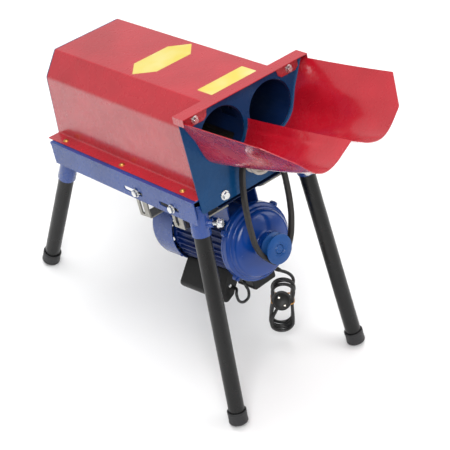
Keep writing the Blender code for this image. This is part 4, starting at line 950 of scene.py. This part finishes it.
def make_boxes():
    """Capacitor and terminal boxes: outlines that follow the motor's round and run along it."""
    clear = 70.8
    lower = rounded([(-43.0, -76.0), (-58.0, -97.0), (-79.0, -107.0), (-91.0, -91.0), (-60.0, -54.0)],
                    [4, 7, 10, 9, 0], 8, closed=False)
    outline = arc(0, 0, clear, 222, 236, 8) + lower
    prism("capacitor_case", outline, "Y", 94.0, 227.0, motor, "plastic", stands_for=("capacitor_box",),
          bevel=1.2)
    lathe("capacitor_screw", [(0, 1.4), (2.0, 1.3), (3.2, 0.8), (3.6, 0.0), (0, 0.0)],
          local((-62.0, 94.0, -76.0), (0, -1, 0), motor), "zinc", seg=28)
    outline = arc(0, 0, clear, 250, 297, 12)
    outline += rounded([(34.0, -70.0), (34.0, -101.0), (-18.0, -103.5), (-26.0, -97.0)], [0, 4, 4, 3], 6)
    prism("terminal_case", outline, "Y", 74.0, 124.0, motor, "plastic", stands_for=("terminal_box",),
          bevel=1.2)
    lead = [(-54.0, 93.6, -84.0), (-55.0, 86.0, -85.0), (-62.0, 80.0, -92.0), (-61.0, 79.0, -106.0),
            (-51.0, 79.0, -114.0), (-38.0, 79.0, -111.0), (-33.0, 80.0, -99.0), (-33.5, 84.0, -88.0),
            (-31.0, 90.0, -80.0), (-28.4, 95.5, -77.5)]
    sweep("capacitor_cable", spline(lead, 10), circle(2.9, 14), motor, "sheath", sharp=0,
          stands_for=("capacitor_lead",))


def make_slot_bolts():
    """Bolts that clamp the hangers in the rails' slots, two in each rail."""
    for end, y in (("front", 64.0), ("rear", 173.0)):
        for side, hand in ((-1, "left"), (1, "right")):
            hex_bolt("slot_bolt_%s_%s" % (end, hand), (side * 153.0, y, 415.5), (side, 0, 0), 12.4,
                     5.2, (8.8, 1.6))


make_motor()
make_boxes()
make_slot_bolts()


# ------------------------------------------------------------------ finishes of the CAD nodes kept
# the feed tubes and grain tray take a blue painted dark as the shade inside them
KEPT = {"cap_strip": "red", "rail_left": "blue", "rail_right": "blue", "feed_tube_left": "painted_shade_tube_blue",
        "feed_tube_right": "painted_shade_tube_blue", "grain_tray": "painted_shade_tube_blue", "drum_shaft": "steel",
        "threshing_drum": "drum", "bearing_front": "cast", "bearing_rear": "cast",
        # motor_rear_bell takes the motor enamel painted darker as shade
        "motor_rear_bell": "painted_shade_motor_blue", "cooling_fan": "plastic", "rotor_shaft": "steel",
        "motor_foot": "motor_blue", "hanger_front_left": "strap", "hanger_front_right": "strap",
        "hanger_rear_left": "strap", "hanger_rear_right": "strap"}


def finish_nodes():
    """Gives the CAD nodes that stay their finish, smooth shading and softened edges."""
    for name, look in KEPT.items():
        obj = NODES[name]
        obj.data.materials.clear()
        obj.data.materials.append(MAT[look])
        obj.data.shade_smooth()
        obj.data.set_sharp_from_angle(angle=math.radians(30))
        if name.startswith(("rail", "cap_strip", "hanger", "motor_foot", "grain")):
            soften(obj, 0.4, 2)


finish_nodes()


# ------------------------------------------------------------------ floor and light
def make_stage():
    """Pale floor and three soft area lights."""
    mesh = bpy.data.meshes.new("floor")
    mesh.from_pydata([(-20, -20, -0.0005), (20, -20, -0.0005), (20, 20, -0.0005), (-20, 20, -0.0005)],
                     [], [(0, 1, 2, 3)])
    floor = bpy.data.objects.new("floor", mesh)
    SCENE.collection.objects.link(floor)
    mesh.materials.append(Finish("pale_floor").done(Base_Color=colour("#F6F6F6"), Roughness=0.9))
    world_data = bpy.data.worlds.new("studio")
    SCENE.world = world_data
    world_data.use_nodes = True
    back = world_data.node_tree.nodes["Background"]
    back.inputs["Color"].default_value = (1.0, 1.0, 1.0, 1.0)
    back.inputs["Strength"].default_value = 0.5
    for name, at, aim, size, power in (
            ("key_light", (-1.6, -1.4, 2.6), (0, 0, 0.35), 1.6, 56.0),
            ("fill_light", (2.2, -1.8, 1.6), (0, 0, 0.3), 2.0, 26.0),
            ("top_light", (0.2, 0.6, 2.8), (0, 0, 0.3), 2.2, 60.0)):
        light = bpy.data.lights.new(name, "AREA")
        light.size = size
        light.energy = power
        obj = bpy.data.objects.new(name, light)
        SCENE.collection.objects.link(obj)
        obj.location = at
        obj.rotation_euler = (Vector(aim) - Vector(at)).to_track_quat("-Z", "Y").to_euler()
    SCENE.view_settings.view_transform = "Standard"


make_stage()
